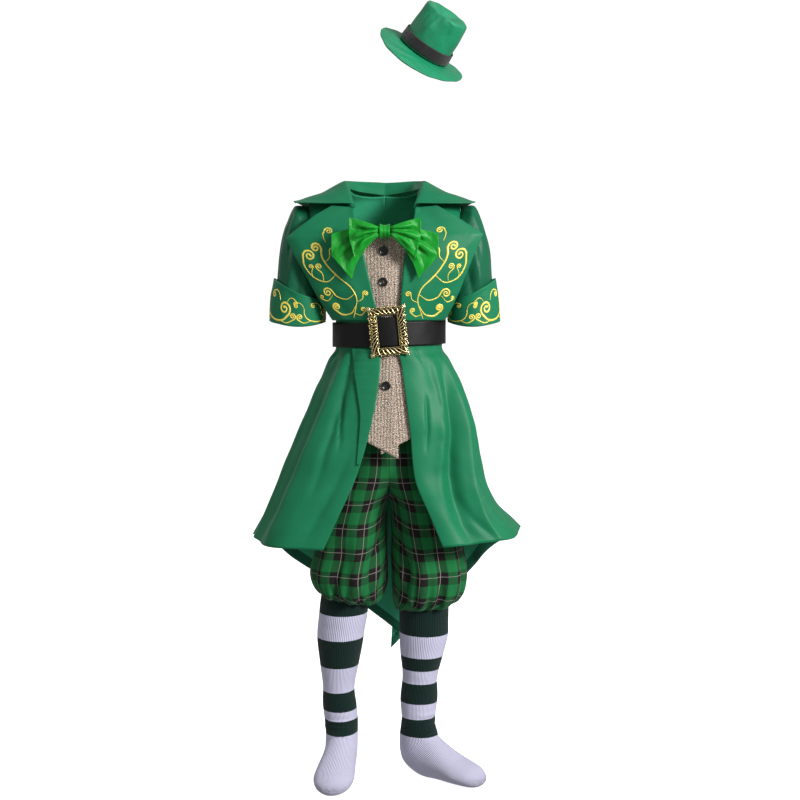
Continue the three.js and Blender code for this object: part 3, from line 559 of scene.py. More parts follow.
coat = {
    "thickness": 1.6,
    "grid": (84, 150),
    "uneven": 0.9,
    # frontX frontY frontZ sideX sideY hole sideZ backX backY backZ, a level section to a row
    "bodice": [
        (58, 3.4, 988, 124, 3.6, 0, 963, 0, 3.8, 1000),
        (50, -45, 955, 122, 1, 21, 938, 0, 44, 984),
        (38, -71, 905, 117.5, 0, 29, 900, 0, 64, 945),
        (31, -77, 875, 113, -2, 20, 864, 0, 71, 900),
        (25, -78, 838, 109, -1, 0, 849, 0, 72, 855),
        (19.5, -75, 800, 92, 0, 0, 800, 0, 65, 800),
        (14, -73, 779, 87, 0, 0, 779, 0, 61, 779),
        (13, -73, 735, 87, 0, 0, 735, 0, 61, 735),
    ],
    "skirt": {
        "right": [
            (13, -77, 714, 100, 0, 0, 712, 0, 71, 705),
            (18, -90, 665, 120, 0, 0, 662, 0, 84, 640),
            (31, -99, 600, 147, 0, 0, 598, 0, 96, 555),
            (50, -106, 535, 175, 2, 0, 530, -14, 106, 455),
            (81, -111, 465, 203, 4, 0, 462, -18, 115, 345),
            (104, -112, 414, 224, 6, 0, 420, -20, 122, 226),
        ],
        "left": [
            (19, -77, 714, 100, 0, 0, 712, 0, 71, 705),
            (26, -90, 665, 122, 0, 0, 662, 0, 84, 640),
            (34, -99, 600, 141, 0, 0, 598, 0.5, 98, 555),
            (40, -106, 535, 149, 2, 0, 535, 6, 112, 450),
            (67, -111, 465, 172, 4, 0, 478, 8, 122, 330),
            (86, -113, 419, 217, 6, 0, 434, 2, 130, 199),
        ],
    },
    "waves": {  # number, height and phase of the skirt's broad folds
        ("front", "right"): (1.5, 16, 0.35),
        ("front", "left"): (1.5, 14, 0.15),
        ("back", "right"): (2, 22, 0.1),
        ("back", "left"): (2, 22, 0.35),
    },
    "neckHole": (57.2, 51.2, -6),
    "folds": {
        ("front", "right"): [
            (0.36, 0.55, 0.30, 0.88, 0.02, 8, -5), (0.47, 0.55, 0.50, 1.0, 0.03, 12, 5),
            (0.63, 0.56, 0.70, 1.0, -0.02, 11, -6), (0.80, 0.56, 0.84, 1.0, 0.02, 9, 5),
            (0.35, 0.70, 0.22, 0.80, 0, 2.8, -4), (0.55, 0.54, 0.58, 0.66, 0, 4, -2.5),
            (0.74, 0.54, 0.75, 0.63, 0, 3.5, -2.5), (0.90, 0.54, 0.92, 0.7, 0, 4, -3),
            (0.90, 0.34, 0.55, 0.44, 0.03, 6, 2.5), (0.85, 0.40, 0.6, 0.46, 0, 5, -2.5),
            (0.12, 0.80, 0.2, 1.0, 0, 9, -2.5),
        ],
        ("front", "left"): [
            (0.22, 0.70, 0.14, 0.80, 0, 2.8, -4), (0.33, 0.58, 0.40, 0.86, 0, 10, -2.5),
            (0.47, 0.62, 0.20, 0.90, 0.02, 9, 6), (0.56, 0.64, 0.24, 0.99, 0.0, 13, -17),
            (0.68, 0.60, 0.46, 1.0, 0.02, 8, 9), (0.78, 0.66, 0.64, 1.0, 0.0, 7, -11),
            (0.88, 0.60, 0.88, 1.0, 0, 5, 4), (0.26, 0.54, 0.27, 0.62, 0, 4, -2),
            (0.9, 0.54, 0.92, 0.68, 0, 4, -3), (0.90, 0.34, 0.55, 0.44, 0.03, 6, 2.5),
            (0.35, 0.88, 0.45, 1.0, 0, 9, -3),
        ],
        ("back", "right"): [
            (0.15, 0.55, 0.18, 0.85, 0.02, 9, -4), (0.32, 0.55, 0.36, 1.0, 0, 12, 5),
            (0.48, 0.56, 0.52, 1.0, 0.02, 10, -6), (0.66, 0.56, 0.70, 1.0, 0, 11, 5),
            (0.82, 0.56, 0.85, 1.0, 0.01, 8, -5), (0.25, 0.54, 0.25, 0.62, 0, 4, -2.5),
            (0.58, 0.54, 0.6, 0.64, 0, 4, -3), (0.75, 0.2, 0.35, 0.34, 0.04, 8, 2.5),
            (0.2, 0.42, 0.75, 0.45, 0.02, 6, 2.2), (0.55, 0.38, 0.9, 0.40, 0, 6, -2.2),
        ],
        ("back", "left"): [
            (0.12, 0.56, 0.14, 0.88, 0.02, 10, 4), (0.28, 0.55, 0.30, 1.0, -0.02, 9, -5),
            (0.45, 0.56, 0.46, 1.0, 0.02, 12, 6), (0.62, 0.56, 0.66, 1.0, 0, 9, -6),
            (0.80, 0.56, 0.83, 1.0, 0.01, 9, 4), (0.36, 0.54, 0.37, 0.63, 0, 4, -3),
            (0.7, 0.54, 0.7, 0.62, 0, 4, -2.5), (0.78, 0.22, 0.4, 0.3, 0.04, 8, 2.5),
            (0.25, 0.44, 0.7, 0.42, 0.02, 6, 2.2), (0.5, 0.36, 0.85, 0.41, 0, 6, -2.2),
        ],
    },
}
lastBodice = len(coat["bodice"]) - 1
coatRows = {side: coat["bodice"] + coat["skirt"][side] for side in sides}


def skirtWave(part, side, u, v):
    number, height, phase = coat["waves"][part, side]
    last = len(coatRows[side]) - 1
    down = smooth((v * last - lastBodice) / (last - lastBodice))
    return height * down * np.sin(math.pi * u) * (1 + np.cos(2 * math.pi * (number * u + phase))) / 2


def coatFront(side):
    def surface(u, v):
        frontX, frontY, frontZ, sideX, sideY, hole, sideZ, *_ = rowAt(coatRows[side], v)
        turn = u * math.pi / 2
        out = skirtWave("front", side, u, v)
        z = mix(frontZ, sideZ, u)
        x = mix(frontX, sideX, np.sin(turn)) + out * np.sin(turn)
        y = mix(sideY - hole, frontY, np.cos(turn)) - out * np.cos(turn)
        return sides[side] * x + leanAt(z), y, z

    return surface


def coatBack(side):
    def surface(u, v):
        *_, sideX, sideY, hole, sideZ, backX, backY, backZ = rowAt(coatRows[side], v)
        turn = u * math.pi / 2
        out = skirtWave("back", side, u, v)
        belowWaist = v > lastBodice / (len(coatRows[side]) - 1)
        z = mix(backZ, sideZ, np.where(belowWaist, np.sin(turn), u))
        x = mix(backX, sideX, np.sin(turn)) + out * np.sin(turn)
        y = mix(sideY + hole, backY, np.cos(turn)) + out * np.cos(turn)
        return sides[side] * x + leanAt(z), y, z

    # Each column starts at the edge of the neck hole.
    def belowNeck(u, v):
        halfWidth, halfDepth, middle = coat["neckHole"]
        tries = np.linspace(0, 0.12, 90)
        x, y, _ = surface(*np.meshgrid(u[0], tries))
        inside = ((x - lean["shift"]) / halfWidth) ** 2 + ((y - middle) / halfDepth) ** 2 < 1
        start = np.where(inside[0], tries[np.argmax(~inside, axis=0)], 0)
        return surface(u, start + (1 - start) * v)

    return belowNeck


for side in sides:
    front = clothPiece("coat_front_" + side, coatFront(side), coat["grid"], coat["thickness"],
                       [coatCloth, wrongSide],
                       coat["folds"]["front", side], coat["uneven"], sewn="end top")
    declare(front)
    back = clothPiece("coat_back_" + side, coatBack(side), coat["grid"], coat["thickness"],
                      [coatCloth, wrongSide],
                      coat["folds"]["back", side], coat["uneven"], sewn="start end top")
    declare(back)
print("coat body made")

# Lapels, turned edge and collar

lapels = {
    "grid": (46, 64),
    "uneven": 0.5,
    "bulge": 0.55,
    "tipDrop": {"right": 9, "left": 2},
    # rollX rollY rollZ edgeX edgeY edgeZ
    "rows": [
        (49.5, -47.5, 960, 84, -46, 963),
        (48.5, -52, 950, 110, -48, 948),
        (45, -60.5, 934, 137, -48, 932),
        (40.5, -70.5, 915, 159, -47, 919),
        (33.5, -78, 885, 144, -52, 885),
        (28, -80.5, 855, 130, -54, 853),
        (23.5, -80, 825, 117, -53, 825),
        (19.5, -77.2, 799, 104, -48, 799),
        (16, -76.4, 778, 91, -40, 778),
    ],
    "folds": [
        (0.25, 0.55, 0.15, 1.0, 0.02, 9, 1.6), (0.6, 0.62, 0.5, 1.0, 0.02, 12, -1.8),
        (0.8, 0.3, 0.55, 0.75, 0.03, 16, 1.6), (0.15, 0.05, 0.4, 0.3, 0.02, 14, -1.2),
    ],
}


def lapel(side):
    def surface(u, v):
        rollX, rollY, rollZ, *_ = rowAt(lapels["rows"], v)
        at = np.linspace(0, 1, len(lapels["rows"]))
        edgeX, edgeY, edgeZ = [np.interp(v, at, column) for column in np.array(lapels["rows"]).T[3:]]
        turn = u * math.pi / 2
        nearTip = clamp(1 - np.abs(v - at[3]) / at[2])
        z = mix(rollZ, edgeZ - lapels["tipDrop"][side] * nearTip, u)
        x = mix(rollX, edgeX, mix(u, np.sin(turn), lapels["bulge"]))
        y = mix(edgeY, rollY, mix(1 - u, np.cos(turn), lapels["bulge"]))
        return sides[side] * x + leanAt(z), y, z

    return surface


for side in sides:
    made = clothPiece("lapel_" + side, lapel(side), lapels["grid"], coat["thickness"], [coatCloth, wrongSide],
                      lapels["folds"], lapels["uneven"], sewn="start")
    declare(made)

turnedEdge = {
    "grid": (24, 70),
    # foldX edgeX z stand
    "rows": [(13.5, 58, 733, 3.6), (14, 56, 705, 3.3), (18.5, 50, 665, 3.5), (26, 45, 625, 3.5),
             (35, 47.5, 588, 3), (47, 51, 550, 2.6)],
}


# The turned edge lies on the right front: its points are found on that panel's grid and moved out.
def turnedSurface(u, v):
    foldX, edgeX, z, stand = rowAt(turnedEdge["rows"], v)
    x = -mix(foldX, edgeX, u)
    grid = grids["coat_front_right"]
    points, normals = grid["points"], grid["normals"]
    made = np.zeros(u.shape + (3,))
    level = np.array([[np.abs(points[:, 0, 2] - h).argmin() for h in row] for row in z])
    for j in range(u.shape[0]):
        for i in range(u.shape[1]):
            row = points[level[j, i]]
            column = np.interp(-x[j, i], -row[:40, 0], np.arange(40))
            k = min(38, int(column))
            t = column - k
            spot = mix(row[k], row[k + 1], t)
            above = normals[level[j, i], k]
            made[j, i] = spot + above * stand[j, i]
            made[j, i, 2] = z[j, i]
    return made[..., 0], made[..., 1], made[..., 2]


made = clothPiece("revers_right", turnedSurface, turnedEdge["grid"], coat["thickness"],
                  [coatCloth, wrongSide])
declare(made)

collar = {
    "grid": (150, 40),
    "uneven": 0.5,
    # x y z from the wing at the front to the middle of the back: seam, roll, fall and edge
    "lines": [
        [(46, -50, 959), (53, -24, 979), (56.5, 3, 991.8), (43, 34, 988.8), (0, 44.5, 982.8)],
        [(53, -54.5, 966), (61, -27, 991), (65, 5, 1005), (49, 42, 1006), (0, 57, 1004)],
        [(97, -52, 967), (104, -23, 978.5), (104, 12, 985), (78, 58, 983), (0, 78, 982)],
        [(144, -38, 968), (148, -14, 970.5), (143, 18, 969), (112, 64, 957), (0, 88, 944)],
    ],
    "folds": [
        (0.12, 0.5, 0.2, 1.0, 0, 16, 2), (0.88, 0.5, 0.8, 1.0, 0, 16, 2), (0.35, 0.55, 0.33, 1.0, 0, 14, -2),
        (0.64, 0.55, 0.67, 1.0, 0, 14, -2), (0.5, 0.5, 0.5, 1.0, 0, 14, 1.5),
    ],
}


def collarSurface(u, v):
    fromBack = np.abs(2 * u - 1)
    stations = [rowAt(line, 1 - fromBack) for line in collar["lines"]]
    stations = [np.array([line[k] for line in stations]) for k in range(3)]
    last = len(collar["lines"]) - 1
    at = v * last
    i = np.minimum(last - 1, np.floor(at)).astype(int)
    t = at - i
    made = []
    for values in stations:
        ends = [np.take_along_axis(table, row[None], 0)[0]
                for table in (values, slopesOf(values)) for row in (i, i + 1)]
        made.append(curveAt(*ends, t))
    return np.where(u < 0.5, -1, 1) * made[0] + lean["shift"], made[1], made[2]


made = clothPiece("collar", collarSurface, collar["grid"], coat["thickness"], [coatCloth, wrongSide],
                  collar["folds"], collar["uneven"], sewn="top")
declare(made)
print("lapels and collar made")

# Sleeves and cuffs

sleeves = {
    "grid": (120, 80),
    "uneven": 0.9,
    "armhole": (963, 849),
    "hemDroop": 6,                            # how much lower the hem hangs at the front and the back
    "innerOut": {"right": 0, "left": 6},      # the left hem is held this much farther out
    # outX outZ inX inZ depth y, a ring through its outermost and innermost points to a row
    "rows": [
        (126.5, 963, 115.5, 851, 29.5, 1),
        (143, 964, 114.5, 841, 38, 1),
        (160, 935, 111, 828, 42, 0),
        (170, 893, 107, 812, 42, 0),
        (175.5, 850, 104, 796, 42, 0),
        (178.5, 812, 102, 784, 41, 0),
        (181, 776.5, 101, 775, 41, 0),
    ],
    "pleats": {"number": 9, "height": 2.6, "reach": 0.5},
    # u runs from the outside of the sleeve round the back
    "folds": [
        (0.02, 0.12, 0.03, 0.8, 0.01, 5, 3.5), (0.97, 0.15, 0.95, 0.75, 0, 6, -3.5),
        (0.90, 0.1, 0.92, 0.62, 0.02, 6, 3),
        (0.84, 0.08, 0.85, 0.45, 0, 5, -4), (0.78, 0.2, 0.83, 0.8, 0, 9, 3),
        (0.70, 0.35, 0.76, 0.9, 0.02, 9, -4),
        (0.08, 0.15, 0.1, 0.8, 0, 7, -3.5), (0.16, 0.1, 0.15, 0.7, 0, 8, 3),
        (0.24, 0.25, 0.22, 0.9, 0, 9, -4),
        (0.35, 0.3, 0.3, 0.85, 0, 9, 3), (0.62, 0.3, 0.66, 0.8, 0, 8, 2.5),
    ],
}


def ringPoint(row, turn, swell, droop, innerOut):
    outX, outZ, inX, inZ, depth, y = row
    inX = inX + innerOut
    reach = np.cos(turn)
    return [(outX + inX) / 2 + (outX - inX) / 2 * reach + swell * reach,
            y + (depth + swell) * np.sin(turn),
            (outZ + inZ) / 2 + (outZ - inZ) / 2 * reach - droop * np.sin(turn) ** 2]


def armholePoint(turn):
    rows = np.array(coat["bodice"][:6], float)[::-1]
    top, bottom = sleeves["armhole"]
    z = mix(bottom, top, (1 + np.cos(turn)) / 2)
    sideX, sideY, hole = [np.interp(z, rows[:, 6], rows[:, k]) for k in (3, 4, 5)]
    return [sideX + 0.6, sideY + hole * np.sign(np.sin(turn)), z]


def sleeve(side):
    def surface(u, v):
        turn = 2 * math.pi * u
        pleats = sleeves["pleats"]
        fade = smooth(1 - v / pleats["reach"]) * np.minimum(1, v * len(sleeves["rows"]))
        swell = pleats["height"] * np.maximum(0, np.cos(turn)) * fade * np.cos(pleats["number"] * 2 * turn)
        droop = sleeves["hemDroop"] * smooth((v - 0.5) / 0.4)
        ring = ringPoint(rowAt(sleeves["rows"], v), turn, swell, droop, sleeves["innerOut"][side] * v)
        toHole = clamp(1 - 7 * v)
        x, y, z = [mix(a, b, toHole) for a, b in zip(ring, armholePoint(turn))]
        return sides[side] * x + mix(lean["shift"], leanAt(z), toHole), y, z

    return surface


cuffs = {
    "grid": (120, 40),
    "uneven": 0.7,
    "rows": [
        (181.8, 846, 98.5, 811, 47, 0),
        (185.8, 815, 97, 795, 46.5, 0),
        (190, 776.5, 97, 774.5, 46, 0),
        (181, 774, 101, 772.5, 41, 0),
    ],
    "folds": [(0.93, 0.0, 0.95, 0.6, 0, 12, 1.6), (0.8, 0.0, 0.78, 0.66, 0, 12, -2),
              (0.1, 0.0, 0.12, 0.6, 0, 12, 2),
              (0.3, 0.0, 0.28, 0.6, 0, 14, -2), (0.6, 0.0, 0.6, 0.6, 0, 14, 2)],
}


def cuff(side):
    def surface(u, v):
        x, y, z = ringPoint(rowAt(cuffs["rows"], v), 2 * math.pi * u, 0, sleeves["hemDroop"],
                            sleeves["innerOut"][side])
        return sides[side] * x + lean["shift"], y, z

    return surface


for side in sides:
    made = clothPiece("sleeve_" + side, sleeve(side), sleeves["grid"], coat["thickness"],
                      [shadedSleeveCloth, wrongSide],
                      sleeves["folds"], sleeves["uneven"], sewn="top hem", closed=True)
    declare(made)
    made = clothPiece("cuff_" + side, cuff(side), cuffs["grid"], coat["thickness"], [coatCloth, wrongSide],
                      cuffs["folds"], cuffs["uneven"], sewn="hem", hold=6, closed=True)
    declare(made)
print("sleeves made")

# Gold scrolls

scrolls = {
    "lift": 0.35,
    "width": 2.6,
    # Each stroke: control points in mm (across from the roll line, down from the top), the radius of the
    # spiral that ends it, the way it turns and its share of the full width.
    "lapel": [
        ([(40, 188), (33, 174), (27, 157), (32, 139), (47, 123), (60, 106), (68, 88), (66, 72)], 9, 1, 1.3),
        ([(52, 117), (70, 129), (90, 121), (101, 101), (99, 82)], 10.5, -1, 1.25),
        ([(66, 96), (56, 88), (53, 76)], 6.5, -1, 0.8),
        ([(56, 62), (58, 50), (53, 39)], 7, -1, 0.9),
        ([(75, 127), (74, 115), (81, 106)], 5.5, -1, 0.8),
        ([(92, 119), (91, 111), (87, 104)], 4, 1, 0.7),
        ([(29, 149), (44, 158), (60, 154), (67, 143)], 8, 1, 1.0),
        ([(66, 151), (77, 161), (87, 158)], 3.6, -1, 0.75),
        ([(31, 168), (42, 181), (58, 184), (69, 176)], 6.5, -1, 1.3),
        ([(28, 162), (18, 157), (15, 147)], 4.5, -1, 0.7),
        ([(37, 181), (27, 184), (18, 178)], 4.5, 1, 0.75),
    ],
    # across from the front of the cuff, down from its top edge
    "cuff": [
        ([(38, 24), (37, 34), (30, 43), (16, 48), (0, 47), (-10, 38)], 11, 1, 1.25),
        ([(26, 46), (37, 49), (47, 44)], 5.5, -1, 0.85),
        ([(4, 48), (-8, 50), (-20, 44)], 5.5, 1, 0.85),
        ([(7, 21), (10, 14), (17, 10), (24, 12)], 4.5, 1, 0.75),
        ([(38, 26), (41, 19), (47, 16), (53, 18)], 4, 1, 0.7),
        ([(-6, 20), (-10, 14), (-16, 12), (-22, 15)], 4, -1, 0.7),
    ],
    "cuffRepeats": [-50, 24, 98, 172],
}


def smoothPath(points, count=40):
    control = np.array(points, float)
    padded = np.vstack([2 * control[0] - control[1], control, 2 * control[-1] - control[-2]])
    made = []
    for k in range(1, len(padded) - 2):
        p0, p1, p2, p3 = padded[k - 1:k + 3]
        for t in np.linspace(0, 1, count // (len(control) - 1), endpoint=False):
            bend = 2 * p0 - 5 * p1 + 4 * p2 - p3 + t * (3 * (p1 - p2) + p3 - p0)
            made.append(p1 + 0.5 * t * (p2 - p0 + t * bend))
    made.append(control[-1])
    return np.array(made)


# A stroke runs on, without a corner, into a spiral that winds inwards and ends in a drop.
def strokeOutline(points, radius, hand, weight):
    path = smoothPath(points)
    ends = np.linspace(0.35, 1, len(path)) * weight
    along = path[-1] - path[-2]
    along = along / np.linalg.norm(along)
    centre = path[-1] + hand * radius * np.array([-along[1], along[0]])
    first = math.atan2(path[-1][1] - centre[1], path[-1][0] - centre[0])
    t = np.linspace(0, 1, 44)[1:]
    turn = first + hand * t * 3.1 * math.pi
    reach = radius * (1 - 0.86 * t ** 0.85)
    path = np.vstack([path, centre + np.stack([np.cos(turn) * reach, np.sin(turn) * reach], axis=1)])
    ends = np.concatenate([ends, mix(weight, 0.7 * weight, t) + 0.75 * radius / 9 * smooth((t - 0.8) / 0.2)])
    way = np.gradient(path, axis=0)
    way /= np.maximum(np.linalg.norm(way, axis=1, keepdims=True), 1e-6)
    across = np.stack([-way[:, 1], way[:, 0]], axis=1) * (scrolls["width"] / 2 * ends)[:, None]
    return path, across


def sample(grid, u, v):
    rows, columns = grid["points"].shape[:2]
    x, y = clamp(u) * (columns - 1), clamp(v) * (rows - 1)
    i, j = np.minimum(columns - 2, x.astype(int)), np.minimum(rows - 2, y.astype(int))
    s, t = (x - i)[:, None], (y - j)[:, None]
    found = []
    for layer in (grid["points"], grid["normals"]):
        found.append(mix(mix(layer[j, i], layer[j, i + 1], s), mix(layer[j + 1, i], layer[j + 1, i + 1], s),
                         t))
    return found


def printOn(name, strokes, grid, origin):
    vertices, faces = [], []
    for stroke in strokes:
        path, across = strokeOutline(*stroke)
        rows = []
        for share in (-1, -0.5, 0.5, 1):
            spot = path + across * share
            points, normals = sample(grid, *sharesOn(grid, origin, spot[:, 0], spot[:, 1]))
            rise = scrolls["lift"] + (0.3 if abs(share) < 1 else -0.25)
            rows.append(metres(points + normals * rise))
        start = len(vertices)
        vertices.extend(np.stack(rows, axis=1).reshape(-1, 3).tolist())
        for k in range(len(path) - 1):
            for edge in range(3):
                a = start + k * 4 + edge
                faces.append((a, a + 1, a + 5, a + 4))
    mesh = bpy.data.meshes.new(name)
    mesh.from_pydata(vertices, [], faces)
    piece = bpy.data.objects.new(name, mesh)
    bpy.context.scene.collection.objects.link(piece)
    finishMesh(piece, [printInk])
    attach(piece, "root")
    return piece


# A spot in mm, across from the column at start and down from the top, as shares of the piece.
def sharesOn(grid, start, x, y):
    flat = grid["flat"]
    rows, columns = flat.shape[:2]
    v = np.interp(y, flat[:, start, 1], np.linspace(0, 1, rows))
    u = []
    for spot, row in zip(x, np.round(v * (rows - 1)).astype(int)):
        across = flat[row, :, 0] - flat[row, start, 0]
        if grid["closed"]:
            spot = (spot - across[0]) % (across[-1] - across[0]) + across[0]
        u.append(np.interp(spot, across, np.linspace(0, 1, columns)))
    return np.array(u), v


for side in sides:
    printOn("scroll_lapel_" + side, scrolls["lapel"], grids["lapel_" + side], 0)
    strokes = []
    for shift in scrolls["cuffRepeats"]:
        for points, radius, hand, weight in scrolls["cuff"]:
            strokes.append(([(px + shift, py) for px, py in points], radius, hand, weight))
    # The front of the sleeve is three quarters of the way round.
    printOn("scroll_cuff_" + side, strokes, grids["cuff_" + side], round(0.75 * cuffs["grid"][0]))
print("scrolls printed")

# Vest and buttons

vest = {
    "thickness": 1.6,
    "grid": (50, 120),
    "uneven": 0.5,
    "behindCoat": 2.6,
    "crown": 2.5,
    "lap": {"right": 0, "left": 2.4},
    # middleX middleZ sewnX sewnZ
    "rows": {
        "right": [(-4, 917, -60, 924), (6, 893, -64, 900), (6, 850, -62, 850), (7, 800, -56, 800),
                  (8, 757, -48, 757), (9, 710, -50, 715), (12, 640, -56, 665), (16, 559, -62, 600)],
        "left": [(-4, 915, 46, 924), (-10, 893, 50, 900), (-12, 850, 48, 850), (-13, 800, 48, 800),
                 (-13, 757, 46, 757), (-13, 710, 48, 715), (-13, 640, 56, 665), (-13, 566, 64, 606)],
    },
    "folds": [(0.1, 0.2, 0.3, 0.5, 0.02, 14, 1.2), (0.35, 0.6, 0.3, 0.98, 0, 14, -1.5),
              (0.05, 0.7, 0.1, 1.0, 0, 10, 1.2)],
}


def vestY(x, z):
    half = x - leanAt(z)
    made = np.zeros_like(x)
    for side in sides:
        rows = np.array(coatRows[side], float)[::-1]
        frontX, frontY, sideX, sideY, hole = [np.interp(z, rows[:, 2], rows[:, k]) for k in (0, 1, 3, 4, 5)]
        share = (np.abs(half) - frontX) / (sideX - frontX)
        level = np.sqrt(1 - np.minimum(0.95, clamp(share)) ** 2)
        crown = vest["crown"] * clamp(1 - (half / frontX) ** 2)
        y = mix(sideY - hole, frontY, level) + vest["behindCoat"] / level - crown
        made = np.where(half * sides[side] >= 0, y, made)
    return made


def vestFront(side):
    def surface(u, v):
        middleX, middleZ, sewnX, sewnZ = rowAt(vest["rows"][side], v)
        x, z = mix(middleX, sewnX, u), mix(middleZ, sewnZ, u)
        return x, vestY(x, z) + vest["lap"][side] * smooth(2 * (1 - u)), z

    return surface


for side in sides:
    made = clothPiece("vest_front_" + side, vestFront(side), vest["grid"], vest["thickness"], [vestCloth],
                      vest["folds"], vest["uneven"], sewn="end", hold=14)
    declare(made)

buttons = {
    "radius": 7.5,
    "holeRadius": 0.8,
    "holeAt": 1.7,
    # r, height above the vest
    "profile": [(0.0, 0.0), (6.9, 0.0), (7.4, 0.4), (7.5, 1.2), (7.3, 2.1), (6.7, 2.6), (6.1, 2.6),
                (5.6, 2.3),
                (5.0, 1.8), (3.5, 1.6), (0.0, 1.6)],
}


def latheMesh(name, profile, segments):
    vertices, faces = [], []
    for r, h in profile:
        for i in range(segments):
            turn = i / segments * 2 * math.pi
            vertices.append((r * math.cos(turn) / 1000, -h / 1000, r * math.sin(turn) / 1000))
    for j in range(len(profile) - 1):
        for i in range(segments):
            k = (i + 1) % segments
            faces.append((j * segments + i, (j + 1) * segments + i, (j + 1) * segments + k, j * segments + k))
    mesh = bpy.data.meshes.new(name)
    mesh.from_pydata(vertices, [], faces)
    return mesh


for number in (1, 2, 3):
    name = f"button_{number}"
    low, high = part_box(name)
    piece = bpy.data.objects.new(name + "_shown", latheMesh(name, buttons["profile"], 48))
    bpy.context.scene.collection.objects.link(piece)
    piece.location = ((low[0] + high[0]) / 2, high[1], (low[2] + high[2]) / 2)
    finishMesh(piece, [buttonBlack])
    for k in range(4):
        turn = (k + 0.5) * math.pi / 2
        place = (buttons["holeAt"] * math.cos(turn) / 1000, -0.0012,
                 buttons["holeAt"] * math.sin(turn) / 1000)
        bpy.ops.mesh.primitive_cylinder_add(vertices=14, radius=buttons["holeRadius"] / 1000, depth=0.002,
                                            location=piece.location + piece.location.__class__(place),
                                            rotation=(math.pi / 2, 0, 0))
        cutter = bpy.context.object
        cut = piece.modifiers.new(f"hole {k + 1}", "BOOLEAN")
        cut.operation, cut.object = "DIFFERENCE", cutter
        bpy.context.view_layer.objects.active = piece
        bpy.ops.object.modifier_apply(modifier=cut.name)
        bpy.data.objects.remove(cutter)
    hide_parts(name)
    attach(piece, "root")
print("vest made")

# Belt and buckle

belt = {"low": 736.8, "high": 776, "tilt": 0.03, "rise": 8, "halfWidth": 93, "halfDepth": 73,
        "middleY": -6.5, "thickness": 2.4}


buckleX = -1


def beltSurface(u, v):
    turn = 2 * math.pi * u
    x, y = belt["halfWidth"] * np.sin(turn), belt["middleY"] - belt["halfDepth"] * np.cos(turn)
    # Behind the buckle a second layer, the belt's end, stands higher.
    rise = belt["rise"] * (1 - v) * smooth((26 - np.abs(x - buckleX)) / 8) * (y < 0)
    return x, y, mix(belt["high"], belt["low"], v) + belt["tilt"] * x + rise


made = clothPiece("belt", beltSurface, (200, 16), belt["thickness"], [beltVinyl], uneven=0.35, rough=60,
                  closed=True,
                  folds=[(0.86, 0, 0.84, 1, 0, 8, 0.6), (0.12, 0, 0.15, 1, 0, 8, -0.6),
                         (0.45, 0, 0.5, 1, 0, 12, 0.6)])
declare(made)

buckle = {
    "x": buckleX, "z": 762, "width": 58, "height": 76, "windowWidth": 32, "windowHeight": 52, "tilt": 5.5,
    "plate": 2.2,       # thickness of the plate under the ornament
    "rim": 0.7,         # radius of the two corded rims
    "strand": 1.2,      # radius of a plait's strand
    "plaits": 15,       # eyes round the frame, two for each turn of a strand
    "bead": 1.5,
    "shell": 3.4,
}


# A rectangle with slightly bowed sides, as a closed path; share 0 is its window edge and 1 its outer edge.
def framePath(share, count, waved=0.0):
    halfWidth = mix(buckle["windowWidth"], buckle["width"], share) / 2
    halfHeight = mix(buckle["windowHeight"], buckle["height"], share) / 2
    turn = (np.arange(count) + 0.5) / count * 2 * math.pi
    reach = 1 / np.maximum(np.abs(np.cos(turn)) / halfWidth, np.abs(np.sin(turn)) / halfHeight)
    x, y = np.cos(turn) * reach, np.sin(turn) * reach
    cornerness = np.abs(x / halfWidth * y / halfHeight) ** 6
    push = waved * np.cos(20 * turn) * (1 - cornerness) + waved * 2 * cornerness
    stretch = 1 + push / np.hypot(x, y)
    return np.stack([x * stretch, y * stretch], axis=1)


def tubeAlong(path, radius, vertices, faces, sidesRound=8):
    ahead = np.roll(path, -1, axis=0) - np.roll(path, 1, axis=0)
    ahead /= np.linalg.norm(ahead, axis=1, keepdims=True)
    up = np.tile([0.0, 0.0, 1.0], (len(path), 1))
    side = np.cross(ahead, up)
    side /= np.linalg.norm(side, axis=1, keepdims=True)
    up = np.cross(side, ahead)
    start = len(vertices)
    for k in range(sidesRound):
        turn = 2 * math.pi * k / sidesRound
        vertices.extend((path + radius * (math.cos(turn) * side + math.sin(turn) * up)).tolist())
    n = len(path)
    for k in range(sidesRound):
        for i in range(n):
            a, b = start + k * n + i, start + k * n + (i + 1) % n
            c = (k + 1) % sidesRound * n + start
            faces.append((a, b, c + (i + 1) % n, c + i))


def ball(centre, radius, vertices, faces, flat=1.0):
    start, rings, around = len(vertices), 6, 10
    for j in range(rings + 1):
        tilt = math.pi * j / rings
        for i in range(around):
            turn = 2 * math.pi * i / around
            vertices.append([centre[0] + radius * math.sin(tilt) * math.cos(turn),
                             centre[1] + radius * math.sin(tilt) * math.sin(turn),
                             centre[2] + radius * flat * math.cos(tilt)])
    for j in range(rings):
        for i in range(around):
            k = (i + 1) % around
            faces.append((start + j * around + i, start + (j + 1) * around + i,
                          start + (j + 1) * around + k, start + j * around + k))


